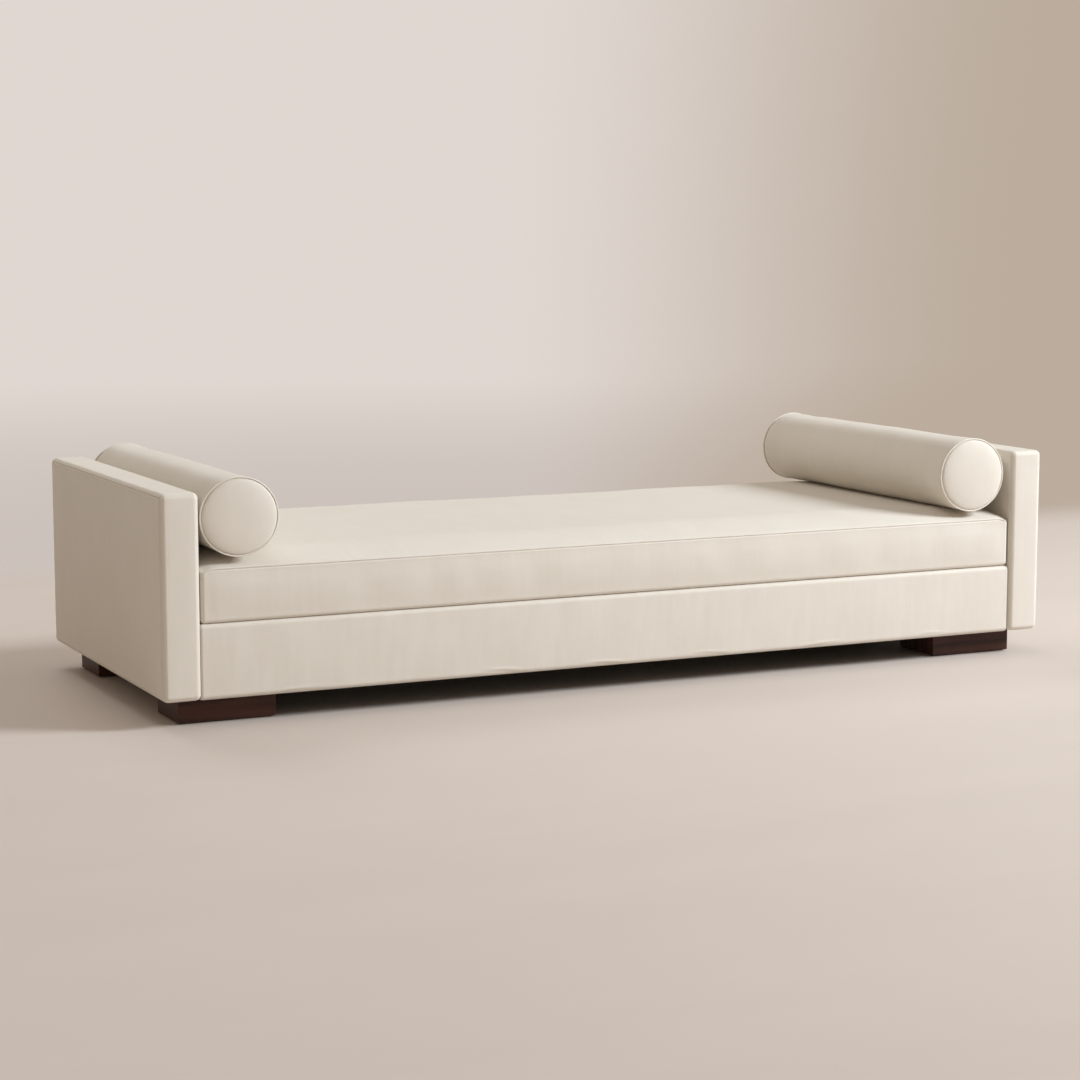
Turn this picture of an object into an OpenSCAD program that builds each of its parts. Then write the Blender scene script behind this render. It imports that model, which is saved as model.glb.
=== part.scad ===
// Upholstered daybed: a box base on four block feet, two slab arms, a boxed seat cushion
// and two round bolsters. X runs along the length, -Y is the front, Z is up, and the
// origin is on the floor under the middle.

/* [Overall] */
// Length over both arms
overall_l = 2500; // [1900:10:2700]
// Depth of the arms, front to back
arm_d = 965; // [850:5:1050]
// Height of the arm tops above the floor
arm_top = 561; // [520:1:640]

/* [Base] */
// Depth over the front and back covers
base_d = 950; // [840:5:1040]
// Height of the covers' lower edge above the floor
base_bottom = 64; // [50:1:90]
// Height of the deck above the floor
base_top = 247; // [235:1:270]
// Radius of the covers' long edges
base_r = 12; // [8:1:16]
// Thickness of the rails
rail_t = 25; // [20:1:32]
// Padding on the face of the front and back rails
base_pad_t = 9; // [6:1:14]
// Number of slats in the deck
slat_count = 15; // [9:1:16]
// Width of a slat
slat_w = 70; // [50:1:90]
// Thickness of a slat
slat_t = 18; // [14:1:22]

/* [Feet] */
// Length of a foot, along the base
foot_l = 246; // [160:1:280]
// Width of a foot, front to back
foot_w = 162; // [100:1:180]
// How far a foot reaches out under its arm
foot_under_arm = 41; // [10:1:60]
// Distance of a foot from the face of the base
foot_inset = 55; // [45:1:90]
// Thickness of the felt pad under a foot
felt_t = 3; // [2:0.5:5]

/* [Arms] */
// Width of an arm, inside to outside
arm_t = 95; // [85:1:130]
// Height of the arms' lower edge above the floor
arm_bottom = 66; // [66:1:90]
// Radius of the arms' edges
arm_r = 14; // [11:1:20]
// Padding under an arm's cover
arm_pad_t = 7; // [5:1:12]
// Thickness of the arm's plywood panels
panel_t = 5; // [4:1:9]
// Width of the posts and the stile, along the arm
post_w = 45; // [35:1:60]

/* [Seat cushion] */
// Depth of the cushion
seat_d = 948; // [830:2:1030]
// Gap between each end of the cushion and its arm
seat_end_gap = 4; // [1:1:12]
// Height of the upper seam above the floor
seat_seam = 377; // [340:1:400]
// Height of the crown of the cushion above the floor
seat_crown = 404; // [400:1:420]
// Thickness of the wadding round the foam
seat_wadding_t = 15; // [8:1:25]

/* [Bolsters] */
// Diameter of a bolster's cover
bolster_dia = 195; // [160:5:220]
// Distance between the two piping rings
bolster_l = 936; // [820:2:950]
// How far an end cap bulges past its ring
bolster_dome = 13; // [6:1:20]
// Gap between the left ring's edge and the left arm
bolster_gap_left = 1.5; // [1:0.5:60]
// Gap between the right ring's edge and the right arm
bolster_gap_right = 22; // [1:1:60]
// Diameter of the piping
piping_dia = 4; // [3:0.5:6]
// Thickness of the wadding round the foam
bolster_wadding_t = 10; // [6:1:20]

/* [Covers and zips] */
// Thickness of the cover fabric with its lining
cover_t = 3; // [2:0.5:4]
// Length of the seat cushion's zip
seat_zip_l = 2000; // [1200:10:2000]
// Length of a bolster's zip
bolster_zip_l = 780; // [500:10:780]
// Angle of a bolster's zip below the horizontal
bolster_zip_angle = 38; // [30:1:50]

/* [Hidden] */
$fn = 48;

// Extents of the base and of the arms
arm_in = overall_l / 2 - arm_t;
arm_out = overall_l / 2;
base_end = arm_in - 0.5;
base_half = base_d / 2;

// Base frame: the front rail lies between rail_out and rail_in, and the back rail mirrors it.
// Both stop short of the base's ends by end_turn, where the covers turn in.
rail_out = base_half - cover_t - base_pad_t;
rail_in = rail_out - rail_t;
rail_z0 = base_bottom + cover_t;
rail_z1 = base_top - 9;
end_turn = 4;
long_rail_end = base_end - end_turn;
deck_z = base_top - cover_t;
end_rail_in = base_end - rail_t;
slat_z = deck_z - slat_t;
ledger = 30;
beam_w = 44;
beam_h = 36;
cross_rail_x = 400;
cross_rail_t = 22;
cross_rail_h = 100;
flange_w = 40;
block_h = 38;
dust_t = 1.5;

// Feet
foot_out = arm_in + foot_under_arm;
foot_in = foot_out - foot_l;
foot_front = base_half - foot_inset;
foot_back = foot_front - foot_w;
foot_top = rail_z0 - dust_t;
pad_inset = 8;
foot_screw_dx = [60, 150];
foot_screw_y = (foot_front + foot_back) / 2;

// Arm frame, inside the cover and the padding
arm_skin = cover_t + arm_pad_t;
panel_in = arm_in + arm_skin;
panel_out = arm_out - arm_skin;
frame_in = panel_in + panel_t;
frame_out = panel_out - panel_t;
frame_y = arm_d / 2 - arm_skin;
frame_z0 = arm_bottom + arm_skin;
frame_z1 = arm_top - arm_skin;
top_rail_h = 40;
bottom_rail_t = 28;
bottom_rail_h = 150;

// Arm bolts, M8
bolt_y = [-180, 180];
bolt_z = [110, 190];
bolt_r = 4;
bolt_clear_r = 4.5;
bolt_head_r = 7.5;
bolt_head_h = 5.5;
washer_r = 10;
washer_t = 2;
tee_flange_r = 11;
tee_flange_t = 1.5;
tee_barrel_r = 5.5;
tee_barrel_l = 10;
bolt_end = frame_in + bottom_rail_t + tee_flange_t + 2;

// Screws: a foot's two, and the slats'
foot_screw_r = 4;
foot_screw_head_r = 8;
foot_screw_head_h = 5;
foot_counterbore_r = 9;
foot_counterbore_h = 14;
foot_screw_top = rail_z0 + block_h - 8;
slat_screw_r = 2;
slat_screw_head_r = 4;
slat_screw_head_h = 3;
slat_screw_l = 34;

// Seat cushion
seat_l = 2 * (arm_in - seat_end_gap);
seat_z0 = base_top + 0.5;
seat_r = 10;
seat_corner_r = 14;
seat_run_x = 80;
seat_run_y = 170;

// Bolsters
bolster_r = bolster_dia / 2;
piping_r = piping_dia / 2;
bolster_z = seat_crown + 0.5 + bolster_r;
ring_out_r = bolster_r + piping_dia;
bolster_x = [
    -arm_in + bolster_gap_left + ring_out_r,
    arm_in - bolster_gap_right - ring_out_r
];

// Zips: a tape with a coil on it, and a slider over the coil
tape_w = 22;
tape_t = 1;
coil_w = 5;
coil_h = 1.8;
zip_clear = 0.3;
slider_l = 14;
slider_w = 10;
slider_h = 3;
slider_end = 30;
puller_l = 22;
puller_w = 6;
puller_t = 1;

arm_pieces = [
    "front_post", "back_post", "top_rail", "bottom_rail", "middle_stile",
    "inner_panel", "outer_panel", "padding", "cover"
];
bolster_pieces = ["core", "wadding", "cover", "piping", "zip", "zip_slider"];

fabric_colour = "#e6dcc8";
wadding_colour = "#f4f2ec";
foam_colour = "#e8d9a0";
pine_colour = "#d9b98a";
plywood_colour = "#c9a777";
foot_colour = "#3a2018";
felt_colour = "#5c5650";
dust_colour = "#3c3c3e";
steel_colour = "#b8bcc0";
tape_colour = "#d8cfba";

// Left is -1 and right is 1; front is -1 and back is 1.
function side_name(side) = side < 0 ? "left" : "right";

// Outline of a w by h rectangle, centred, whose corners are arcs of radius r.
function round_rect(w, h, r, steps = 5) = [
    for (corner = [0:3], i = [0:steps])
        let (
            a = 90 * (corner + i / steps),
            sx = corner == 0 || corner == 3 ? 1 : -1,
            sy = corner < 2 ? 1 : -1
        )
        [sx * (w / 2 - r) + r * cos(a), sy * (h / 2 - r) + r * sin(a)]
];

// Section of a crowned cushion: round lower corners, straight sides up to the seam, and
// an elliptical rise of length run from each side up to the crown.
function crown_section(w, z0, seam, crown, run, r, steps = 8) = concat(
    [for (i = [0:3]) let (a = 180 + 30 * i) [r - w / 2 + r * cos(a), z0 + r + r * sin(a)]],
    [for (i = [0:3]) let (a = 270 + 30 * i) [w / 2 - r + r * cos(a), z0 + r + r * sin(a)]],
    [
        for (i = [0:steps])
            let (a = 90 * i / steps)
            [w / 2 - run * (1 - cos(a)), seam + (crown - seam) * sin(a)]
    ],
    [
        for (i = [steps:-1:0])
            let (a = 90 * i / steps)
            [run * (1 - cos(a)) - w / 2, seam + (crown - seam) * sin(a)]
    ]
);

// Half outline of a bolster, to be turned about its long axis.
function bolster_outline(r, half, dome, steps = 8) = concat(
    [for (i = [0:steps]) let (a = 90 * i / steps) [r * sin(a), -half - dome * cos(a)]],
    [for (i = [steps:-1:0]) let (a = 90 * i / steps) [r * sin(a), half + dome * cos(a)]]
);

// A plain block between two values on each axis, given in either order.
module block(x, y, z) {
    translate([min(x), min(y), min(z)])
        cube([abs(x[1] - x[0]), abs(y[1] - y[0]), abs(z[1] - z[0])]);
}

// Extrudes a YZ section along X, centred.
module along_x(l) {
    rotate([90, 0, 90])
        linear_extrude(l, center = true)
            children();
}

// Extrudes an XZ section along Y, centred.
module along_y(l) {
    rotate([90, 0, 0])
        linear_extrude(l, center = true)
            children();
}

// A cylinder along X between two values of x.
module rod_x(r, x0, x1, sides = $fn) {
    translate([min(x0, x1), 0, 0])
        rotate([0, 90, 0])
            cylinder(r = r, h = abs(x1 - x0), $fn = sides);
}

// A block with every edge rounded, centred.
module soft_block(x, y, z, r) {
    intersection() {
        linear_extrude(z, center = true)
            polygon(round_rect(x, y, r));
        along_y(y)
            polygon(round_rect(x, z, r));
        along_x(x)
            polygon(round_rect(y, z, r));
    }
}

// ---- Base frame ----

// One of the two long rails.
module base_long_rail(face) {
    color(pine_colour)
        block(
            [-long_rail_end, long_rail_end],
            face * [rail_in, rail_out],
            [rail_z0, rail_z1]
        );
}

// One of the two end rails, with the holes for its arm's bolts.
module base_end_rail(side) {
    color(pine_colour)
        difference() {
            block(side * [end_rail_in, base_end], [-rail_in, rail_in], [rail_z0, deck_z]);
            at_bolts(side)
                rod_x(bolt_clear_r, side * (end_rail_in - 1), side * (base_end + 1));
        }
}

// Two rails that tie the long rails together under the beam.
module cross_rails() {
    top = slat_z - beam_h;
    color(pine_colour)
        for (x = [-cross_rail_x, cross_rail_x])
            block(
                [x - cross_rail_t / 2, x + cross_rail_t / 2],
                [-rail_in, rail_in],
                [top - cross_rail_h, top]
            );
}

// The beam that carries the slats at the middle of their span.
module centre_beam() {
    color(pine_colour)
        block(
            [-end_rail_in, end_rail_in],
            beam_w / 2 * [-1, 1],
            [slat_z - beam_h, slat_z]
        );
}

// The two strips on the long rails that the slats rest on.
module slat_ledgers() {
    color(pine_colour)
        for (face = [-1, 1])
            difference() {
                block(
                    [-end_rail_in, end_rail_in],
                    face * [rail_in - ledger, rail_in],
                    [slat_z - ledger, slat_z]
                );
                at_slats()
                    translate([0, face * slat_screw_y(), deck_z - slat_screw_l])
                        cylinder(r = slat_screw_r, h = slat_screw_l);
            }
}

function slat_screw_y() = rail_in - ledger / 2;

// Places its children at the middle of each slat.
module at_slats() {
    pitch = 2 * end_rail_in / slat_count;
    for (i = [0:slat_count - 1])
        translate([pitch * (i + 0.5) - end_rail_in, 0, 0])
            children();
}

// The slats, from ledger to ledger.
module deck_slats() {
    color(pine_colour)
        at_slats()
            difference() {
                block(slat_w / 2 * [-1, 1], (rail_in - 2) * [-1, 1], [slat_z, deck_z]);
                for (face = [-1, 1])
                    translate([0, face * slat_screw_y(), 0]) {
                        translate([0, 0, slat_z - 1])
                            cylinder(r = slat_screw_r, h = slat_t + 2);
                        translate([0, 0, deck_z - slat_screw_head_h])
                            cylinder(r = slat_screw_head_r, h = slat_screw_head_h + 1);
                    }
            }
}

// A screw at each end of every slat.
module slat_screws() {
    color(steel_colour)
        at_slats()
            for (face = [-1, 1])
                translate([0, face * slat_screw_y(), 0]) {
                    translate([0, 0, deck_z - slat_screw_l])
                        cylinder(r = slat_screw_r, h = slat_screw_l - slat_screw_head_h);
                    translate([0, 0, deck_z - slat_screw_head_h])
                        cylinder(r = slat_screw_head_r, h = slat_screw_head_h);
                }
}

// The four blocks in the base's corners that the feet are screwed to.
module corner_blocks() {
    color(pine_colour)
        for (side = [-1, 1], face = [-1, 1])
            difference() {
                block(
                    side * [foot_in, end_rail_in],
                    face * [foot_back, rail_in],
                    [rail_z0, rail_z0 + block_h]
                );
                at_foot_screws(side, face)
                    translate([0, 0, rail_z0 - 1])
                        cylinder(r = foot_screw_r, h = foot_screw_top - rail_z0 + 1);
            }
}

// ---- Base upholstery ----

// Section of the base at a given depth under its fabric.
module base_section(inset) {
    translate([0, (base_bottom + base_top) / 2])
        polygon(round_rect(base_d - 2 * inset, base_top - base_bottom - 2 * inset, base_r - inset));
}

// Padding over the face and the top of a long rail.
module base_padding(face) {
    mid = face * (rail_in + base_half) / 2;
    color(wadding_colour)
        along_x(2 * long_rail_end)
            difference() {
                intersection() {
                    base_section(cover_t);
                    translate([mid, (rail_z0 + base_top) / 2])
                        square([base_half - rail_in, base_top - rail_z0], center = true);
                }
                translate([face * (rail_in + rail_out) / 2, (rail_z0 + rail_z1) / 2])
                    square([rail_t, rail_z1 - rail_z0], center = true);
            }
}

// Cover on the face of a long rail, turned in over the top and under the bottom.
module base_cover(face) {
    color(fabric_colour)
        along_x(2 * base_end)
            intersection() {
                difference() {
                    base_section(0);
                    base_section(cover_t);
                }
                translate([face * (base_half - flange_w / 2), (base_bottom + base_top) / 2])
                    square([flange_w, base_top], center = true);
            }
}

// Cloth over the slats, between the two covers.
module deck_cloth() {
    color(fabric_colour)
        block(
            [-base_end, base_end],
            (base_half - flange_w) * [-1, 1],
            [deck_z, base_top]
        );
}

// Cloth that closes the underside.
module dust_cover() {
    color(dust_colour)
        difference() {
            block(
                [-base_end, base_end],
                (base_half - flange_w) * [-1, 1],
                [foot_top, rail_z0]
            );
            for (side = [-1, 1], face = [-1, 1])
                at_foot_screws(side, face)
                    translate([0, 0, foot_top - 1])
                        cylinder(r = foot_screw_r, h = dust_t + 2);
        }
}

// ---- Feet ----

// Places its children at a foot's two screws.
module at_foot_screws(side, face) {
    for (dx = foot_screw_dx)
        translate([side * (foot_in + dx), face * foot_screw_y, 0])
            children();
}

// A block foot, counterbored from below for its screws.
module foot(side, face) {
    color(foot_colour)
        difference() {
            block(side * [foot_in, foot_out], face * [foot_back, foot_front], [felt_t, foot_top]);
            at_foot_screws(side, face) {
                cylinder(r = foot_screw_r, h = foot_top + 1);
                cylinder(r = foot_counterbore_r, h = foot_counterbore_h);
            }
        }
}

// Two screws a foot, up into its corner block.
module foot_screws() {
    color(steel_colour)
        for (side = [-1, 1], face = [-1, 1])
            at_foot_screws(side, face) {
                translate([0, 0, foot_counterbore_h - foot_screw_head_h])
                    cylinder(r = foot_screw_head_r, h = foot_screw_head_h);
                translate([0, 0, foot_counterbore_h])
                    cylinder(r = foot_screw_r, h = foot_screw_top - foot_counterbore_h);
            }
}

// A felt pad under each foot.
module foot_felt_pads() {
    color(felt_colour)
        for (side = [-1, 1], face = [-1, 1])
            block(
                side * [foot_in + pad_inset, foot_out - pad_inset],
                face * [foot_back + pad_inset, foot_front - pad_inset],
                [0, felt_t]
            );
}

// ---- Arms ----

// Places its children on the axis of each of an arm's bolts.
module at_bolts(side) {
    for (y = bolt_y, z = bolt_z)
        translate([0, y, z])
            children();
}

// Clearance through an arm's inner face for its bolts.
module bolt_clearance(side) {
    at_bolts(side)
        rod_x(bolt_clear_r, side * (arm_in - 1), side * (frame_in + 1));
}

// An arm's outer form, taken in by a given depth.
module arm_form(side, inset) {
    translate([side * (arm_in + arm_out) / 2, 0, (arm_bottom + arm_top) / 2])
        soft_block(
            arm_t - 2 * inset,
            arm_d - 2 * inset,
            arm_top - arm_bottom - 2 * inset,
            arm_r - inset
        );
}

// Front or back post.
module arm_post(side, face) {
    color(pine_colour)
        block(side * [frame_in, frame_out], face * [frame_y - post_w, frame_y], [frame_z0, frame_z1]);
}

// Rail between the posts, under the arm's top.
module arm_top_rail(side) {
    color(pine_colour)
        block(
            side * [frame_in, frame_out],
            (frame_y - post_w) * [-1, 1],
            [frame_z1 - top_rail_h, frame_z1]
        );
}

// Board between the posts that takes the bolts and holds their tee nuts.
module arm_bottom_rail(side) {
    back = frame_in + bottom_rail_t;
    color(pine_colour)
        difference() {
            block(
                side * [frame_in, back],
                (frame_y - post_w) * [-1, 1],
                [frame_z0, frame_z0 + bottom_rail_h]
            );
            at_bolts(side) {
                rod_x(bolt_clear_r, side * (frame_in - 1), side * (back + 1));
                rod_x(tee_barrel_r, side * (back - tee_barrel_l), side * (back + 1));
            }
        }
}

// Upright in the middle of the arm.
module arm_middle_stile(side) {
    color(pine_colour)
        block(
            side * [frame_in, frame_out],
            post_w / 2 * [-1, 1],
            [frame_z0 + bottom_rail_h, frame_z1 - top_rail_h]
        );
}

// Plywood on the inner face of the frame, with clearance for the bolts.
module arm_inner_panel(side) {
    color(plywood_colour)
        difference() {
            block(side * [panel_in, frame_in], frame_y * [-1, 1], [frame_z0, frame_z1]);
            bolt_clearance(side);
        }
}

// Plywood on the outer face of the frame.
module arm_outer_panel(side) {
    color(plywood_colour)
        block(side * [frame_out, panel_out], frame_y * [-1, 1], [frame_z0, frame_z1]);
}

// Padding wrapped round the frame and its panels.
module arm_padding(side) {
    color(wadding_colour)
        difference() {
            arm_form(side, cover_t);
            block(side * [panel_in, panel_out], frame_y * [-1, 1], [frame_z0, frame_z1]);
            bolt_clearance(side);
        }
}

// Sewn cover.
module arm_cover(side) {
    color(fabric_colour)
        difference() {
            arm_form(side, 0);
            arm_form(side, cover_t);
            bolt_clearance(side);
        }
}

// Hexagon-headed bolts, from inside the base into the arms.
module arm_bolts() {
    under_head = end_rail_in - washer_t;
    color(steel_colour)
        for (side = [-1, 1])
            at_bolts(side) {
                rod_x(bolt_head_r, side * (under_head - bolt_head_h), side * under_head, 6);
                rod_x(bolt_r, side * under_head, side * bolt_end);
            }
}

// A washer under each bolt's head.
module arm_washers() {
    color(steel_colour)
        for (side = [-1, 1])
            at_bolts(side)
                difference() {
                    rod_x(washer_r, side * (end_rail_in - washer_t), side * end_rail_in);
                    rod_x(bolt_clear_r, side * (end_rail_in - washer_t - 1), side * (end_rail_in + 1));
                }
}

// A tee nut on each bolt, in the back of the arm's bottom rail.
module arm_tee_nuts() {
    back = frame_in + bottom_rail_t;
    color(steel_colour)
        for (side = [-1, 1])
            at_bolts(side)
                difference() {
                    union() {
                        rod_x(tee_barrel_r, side * (back - tee_barrel_l), side * back);
                        rod_x(tee_flange_r, side * back, side * (back + tee_flange_t));
                    }
                    rod_x(bolt_r, side * (back - tee_barrel_l - 1), side * (back + tee_flange_t + 1));
                }
}

// ---- Zips, made lying along Y with X as the way out of the surface ----

// Tape with the coil of teeth on it.
module zip_strip(l) {
    block([0, tape_t], l / 2 * [-1, 1], tape_w / 2 * [-1, 1]);
    block([tape_t, tape_t + coil_h], l / 2 * [-1, 1], coil_w / 2 * [-1, 1]);
}

// Slider that straddles the coil, with its pull tab lying on it.
module slider_body() {
    base = tape_t + zip_clear;
    groove = tape_t + coil_h + zip_clear;
    top = groove + slider_h - 1.5;
    difference() {
        block([base, top], slider_l / 2 * [-1, 1], slider_w / 2 * [-1, 1]);
        block([base - 1, groove], slider_l * [-1, 1], (coil_w / 2 + zip_clear) * [-1, 1]);
    }
    block([top, top + puller_t], [slider_l / 2 - puller_l, slider_l / 2], puller_w / 2 * [-1, 1]);
}

// ---- Seat cushion ----

// The cushion's outer form, taken in by a given depth.
module seat_form(inset) {
    l = seat_l - 2 * inset;
    d = seat_d - 2 * inset;
    r = max(seat_r - inset, 2);
    corner_r = max(seat_corner_r - inset, 2);
    intersection() {
        linear_extrude(seat_crown)
            polygon(round_rect(l, d, corner_r));
        along_y(d)
            polygon(crown_section(l, seat_z0 + inset, seat_seam, seat_crown - inset, seat_run_x, r));
        along_x(l)
            polygon(crown_section(d, seat_z0 + inset, seat_seam, seat_crown - inset, seat_run_y, r));
    }
}

// Foam block.
module seat_core() {
    color(foam_colour)
        seat_form(cover_t + seat_wadding_t);
}

// Wadding wrapped round the foam.
module seat_wadding() {
    color(wadding_colour)
        difference() {
            seat_form(cover_t);
            seat_form(cover_t + seat_wadding_t);
        }
}

// Sewn cover.
module seat_cover() {
    color(fabric_colour)
        difference() {
            seat_form(0);
            seat_form(cover_t);
        }
}

// Places its children on the middle of the cushion's back face, facing out.
module at_seat_back() {
    translate([0, seat_d / 2, (seat_z0 + seat_seam) / 2])
        rotate([0, 0, 90])
            children();
}

// Zip along the back of the side band.
module seat_zip() {
    color(tape_colour)
        at_seat_back()
            zip_strip(seat_zip_l);
}

// Its slider, closed, at the right-hand end.
module seat_zip_slider() {
    color(steel_colour)
        at_seat_back()
            translate([0, slider_end - seat_zip_l / 2, 0])
                mirror([0, 1, 0])
                    slider_body();
}

// ---- Bolsters ----

// Places its children on a bolster's centre.
module at_bolster(side) {
    translate([bolster_x[side < 0 ? 0 : 1], 0, bolster_z])
        children();
}

// A bolster's outer form, taken in by a given depth.
module bolster_form(inset) {
    rotate([90, 0, 0])
        rotate_extrude()
            polygon(bolster_outline(bolster_r - inset, bolster_l / 2 - inset, bolster_dome));
}

// Round foam core.
module bolster_core(side) {
    color(foam_colour)
        at_bolster(side)
            bolster_form(cover_t + bolster_wadding_t);
}

// Wadding wrapped round the foam.
module bolster_wadding(side) {
    color(wadding_colour)
        at_bolster(side)
            difference() {
                bolster_form(cover_t);
                bolster_form(cover_t + bolster_wadding_t);
            }
}

// Sewn cover: a tube with two round caps.
module bolster_cover(side) {
    color(fabric_colour)
        at_bolster(side)
            difference() {
                bolster_form(0);
                bolster_form(cover_t);
            }
}

// A ring of piping round the seam of each cap.
module bolster_piping(side) {
    color(fabric_colour)
        at_bolster(side)
            for (face = [-1, 1])
                translate([0, face * bolster_l / 2, 0])
                    rotate([90, 0, 0])
                        rotate_extrude()
                            translate([bolster_r + piping_r, 0])
                                circle(r = piping_r);
}

// Places its children on the line of a bolster's zip, facing out.
module at_bolster_zip(side) {
    at_bolster(side)
        rotate([0, bolster_zip_angle, 0])
            translate([bolster_r, 0, 0])
                children();
}

// Zip along the lower right of the tube.
module bolster_zip(side) {
    color(tape_colour)
        at_bolster_zip(side)
            zip_strip(bolster_zip_l);
}

// Its slider, closed, at the back end.
module bolster_zip_slider(side) {
    color(steel_colour)
        at_bolster_zip(side)
            translate([0, bolster_zip_l / 2 - slider_end, 0])
                slider_body();
}

base_long_rail(-1);  // base_front_rail
base_long_rail(1);  // base_back_rail
base_end_rail(-1);  // base_left_end_rail
base_end_rail(1);  // base_right_end_rail
cross_rails();
centre_beam();
slat_ledgers();
deck_slats();
slat_screws();
corner_blocks();
base_padding(-1);  // base_front_padding
base_padding(1);  // base_back_padding
base_cover(-1);  // base_front_cover
base_cover(1);  // base_back_cover
deck_cloth();
dust_cover();
foot(-1, -1);  // foot_front_left
foot(1, -1);  // foot_front_right
foot(-1, 1);  // foot_back_left
foot(1, 1);  // foot_back_right
foot_screws();
foot_felt_pads();
arm_bolts();
arm_washers();
arm_tee_nuts();
seat_core();
seat_wadding();
seat_cover();
seat_zip();
seat_zip_slider();
for (side = [-1, 1]) {
    arm = str("arm_", side_name(side), "_");
    arm_post(side, -1);
    arm_post(side, 1);
    arm_top_rail(side);
    arm_bottom_rail(side);
    arm_middle_stile(side);
    arm_inner_panel(side);
    arm_outer_panel(side);
    arm_padding(side);
    arm_cover(side);
}
for (side = [-1, 1]) {
    bolster = str("bolster_", side_name(side), "_");
    bolster_core(side);
    bolster_wadding(side);
    bolster_cover(side);
    bolster_piping(side);
    bolster_zip(side);
    bolster_zip_slider(side);
}
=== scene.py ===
import math

import bpy
import numpy as np
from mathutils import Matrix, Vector


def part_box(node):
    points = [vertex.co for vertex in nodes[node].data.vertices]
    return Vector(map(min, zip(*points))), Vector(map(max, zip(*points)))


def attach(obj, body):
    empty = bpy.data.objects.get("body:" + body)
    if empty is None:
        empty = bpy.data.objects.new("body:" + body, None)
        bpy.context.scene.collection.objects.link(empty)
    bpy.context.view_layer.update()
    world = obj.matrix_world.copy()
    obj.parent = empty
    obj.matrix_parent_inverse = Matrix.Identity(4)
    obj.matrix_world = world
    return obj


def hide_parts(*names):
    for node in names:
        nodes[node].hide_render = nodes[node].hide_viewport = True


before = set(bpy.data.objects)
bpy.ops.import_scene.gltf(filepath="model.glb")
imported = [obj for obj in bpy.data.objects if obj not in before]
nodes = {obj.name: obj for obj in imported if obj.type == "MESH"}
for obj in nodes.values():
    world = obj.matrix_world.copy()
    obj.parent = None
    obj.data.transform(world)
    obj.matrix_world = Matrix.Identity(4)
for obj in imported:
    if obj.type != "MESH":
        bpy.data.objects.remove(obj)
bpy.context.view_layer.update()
scene = bpy.context.scene

# ---- View ----
# The daybed is seen from its front left, a little above its top, through a long lens.
# Colours are shown as they are lit, with no film look laid over them.

camera = bpy.data.objects.new("camera", bpy.data.cameras.new("camera"))
scene.collection.objects.link(camera)
camera.data.sensor_width = 36.0
camera.data.lens = 85.83
camera.data.clip_end = 80.0
camera.location = (-3.015, -6.222, 1.238)
line_of_sight = Vector((0.4276, 0.89447, -0.1307))
camera.rotation_mode = "QUATERNION"
camera.rotation_quaternion = line_of_sight.to_track_quat("-Z", "Y")
scene.camera = camera
scene.view_settings.view_transform = "Standard"

# ---- Frame timber ----
# Planed pine boards: the base's rails, beam, ledgers, slats and blocks, and the posts, rails
# and stile of each arm. They are glued and screwed together, with the grain along each board.


def new_finish(name, values):
    """A material with its shader, given the values that are the same all over."""
    material = bpy.data.materials.new(name)
    material.use_nodes = True
    shader = material.node_tree.nodes["Principled BSDF"]
    for socket, value in values.items():
        shader.inputs[socket].default_value = value
    return material, material.node_tree, shader


def put(tree, kind, inputs=(), **settings):
    """Adds a shader node, sets it up, and returns its first output."""
    made = tree.nodes.new("ShaderNode" + kind)
    for setting, value in settings.items():
        setattr(made, setting, value)
    for socket, value in dict(inputs).items():
        if isinstance(value, bpy.types.NodeSocket):
            tree.links.new(value, made.inputs[socket])
        else:
            made.inputs[socket].default_value = value
    return made.outputs[0]


def own_place(tree):
    """The point's place on the object, in metres."""
    return put(tree, "TexCoord").node.outputs["Object"]


def stretched(tree, place, scale):
    """The place with each axis scaled, which draws a pattern out along the small ones."""
    return put(tree, "Mapping", {"Vector": place, "Scale": scale})


def noise(tree, place, scale, detail=2.0, roughness=0.5, distortion=0.0):
    inputs = {
        "Vector": place,
        "Scale": scale,
        "Detail": detail,
        "Roughness": roughness,
        "Distortion": distortion,
    }
    return put(tree, "TexNoise", inputs)


def spread(tree, value, low, high, from_low=0.0, from_high=1.0):
    """Brings a value from one range to another, without going past its ends."""
    inputs = {"Value": value, 1: from_low, 2: from_high, 3: low, 4: high}
    return put(tree, "MapRange", inputs)


def maths(tree, operation, first, second=0.0):
    return put(tree, "Math", {0: first, 1: second}, operation=operation)


def tint(tree, share, first, second):
    """A colour between two colours."""
    made = tree.nodes.new("ShaderNodeMix")
    made.data_type = "RGBA"
    for socket, value in ((made.inputs[6], first), (made.inputs[7], second)):
        if isinstance(value, bpy.types.NodeSocket):
            tree.links.new(value, socket)
        else:
            socket.default_value = (*value, 1.0)
    tree.links.new(share, made.inputs[0])
    return made.outputs[2]


def blend(tree, *parts):
    """Patterns added together, each with its weight."""
    total = None
    for pattern, weight in parts:
        part = maths(tree, "MULTIPLY", pattern, weight)
        total = part if total is None else maths(tree, "ADD", total, part)
    return total


def wave(tree, place, scale, distortion, **settings):
    inputs = {"Vector": place, "Scale": scale, "Distortion": distortion}
    return put(tree, "TexWave", inputs, **settings)


def wire(tree, output, shader, socket):
    tree.links.new(output, shader.inputs[socket])


def coat(tree, shader, colour, rough, height, depth, strength):
    """Gives a shader its colour, its roughness, and fine relief as deep in metres as depth."""
    wire(tree, colour, shader, "Base Color")
    wire(tree, rough, shader, "Roughness")
    inputs = {"Height": height, "Distance": depth, "Strength": strength}
    wire(tree, put(tree, "Bump", inputs), shader, "Normal")


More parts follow.
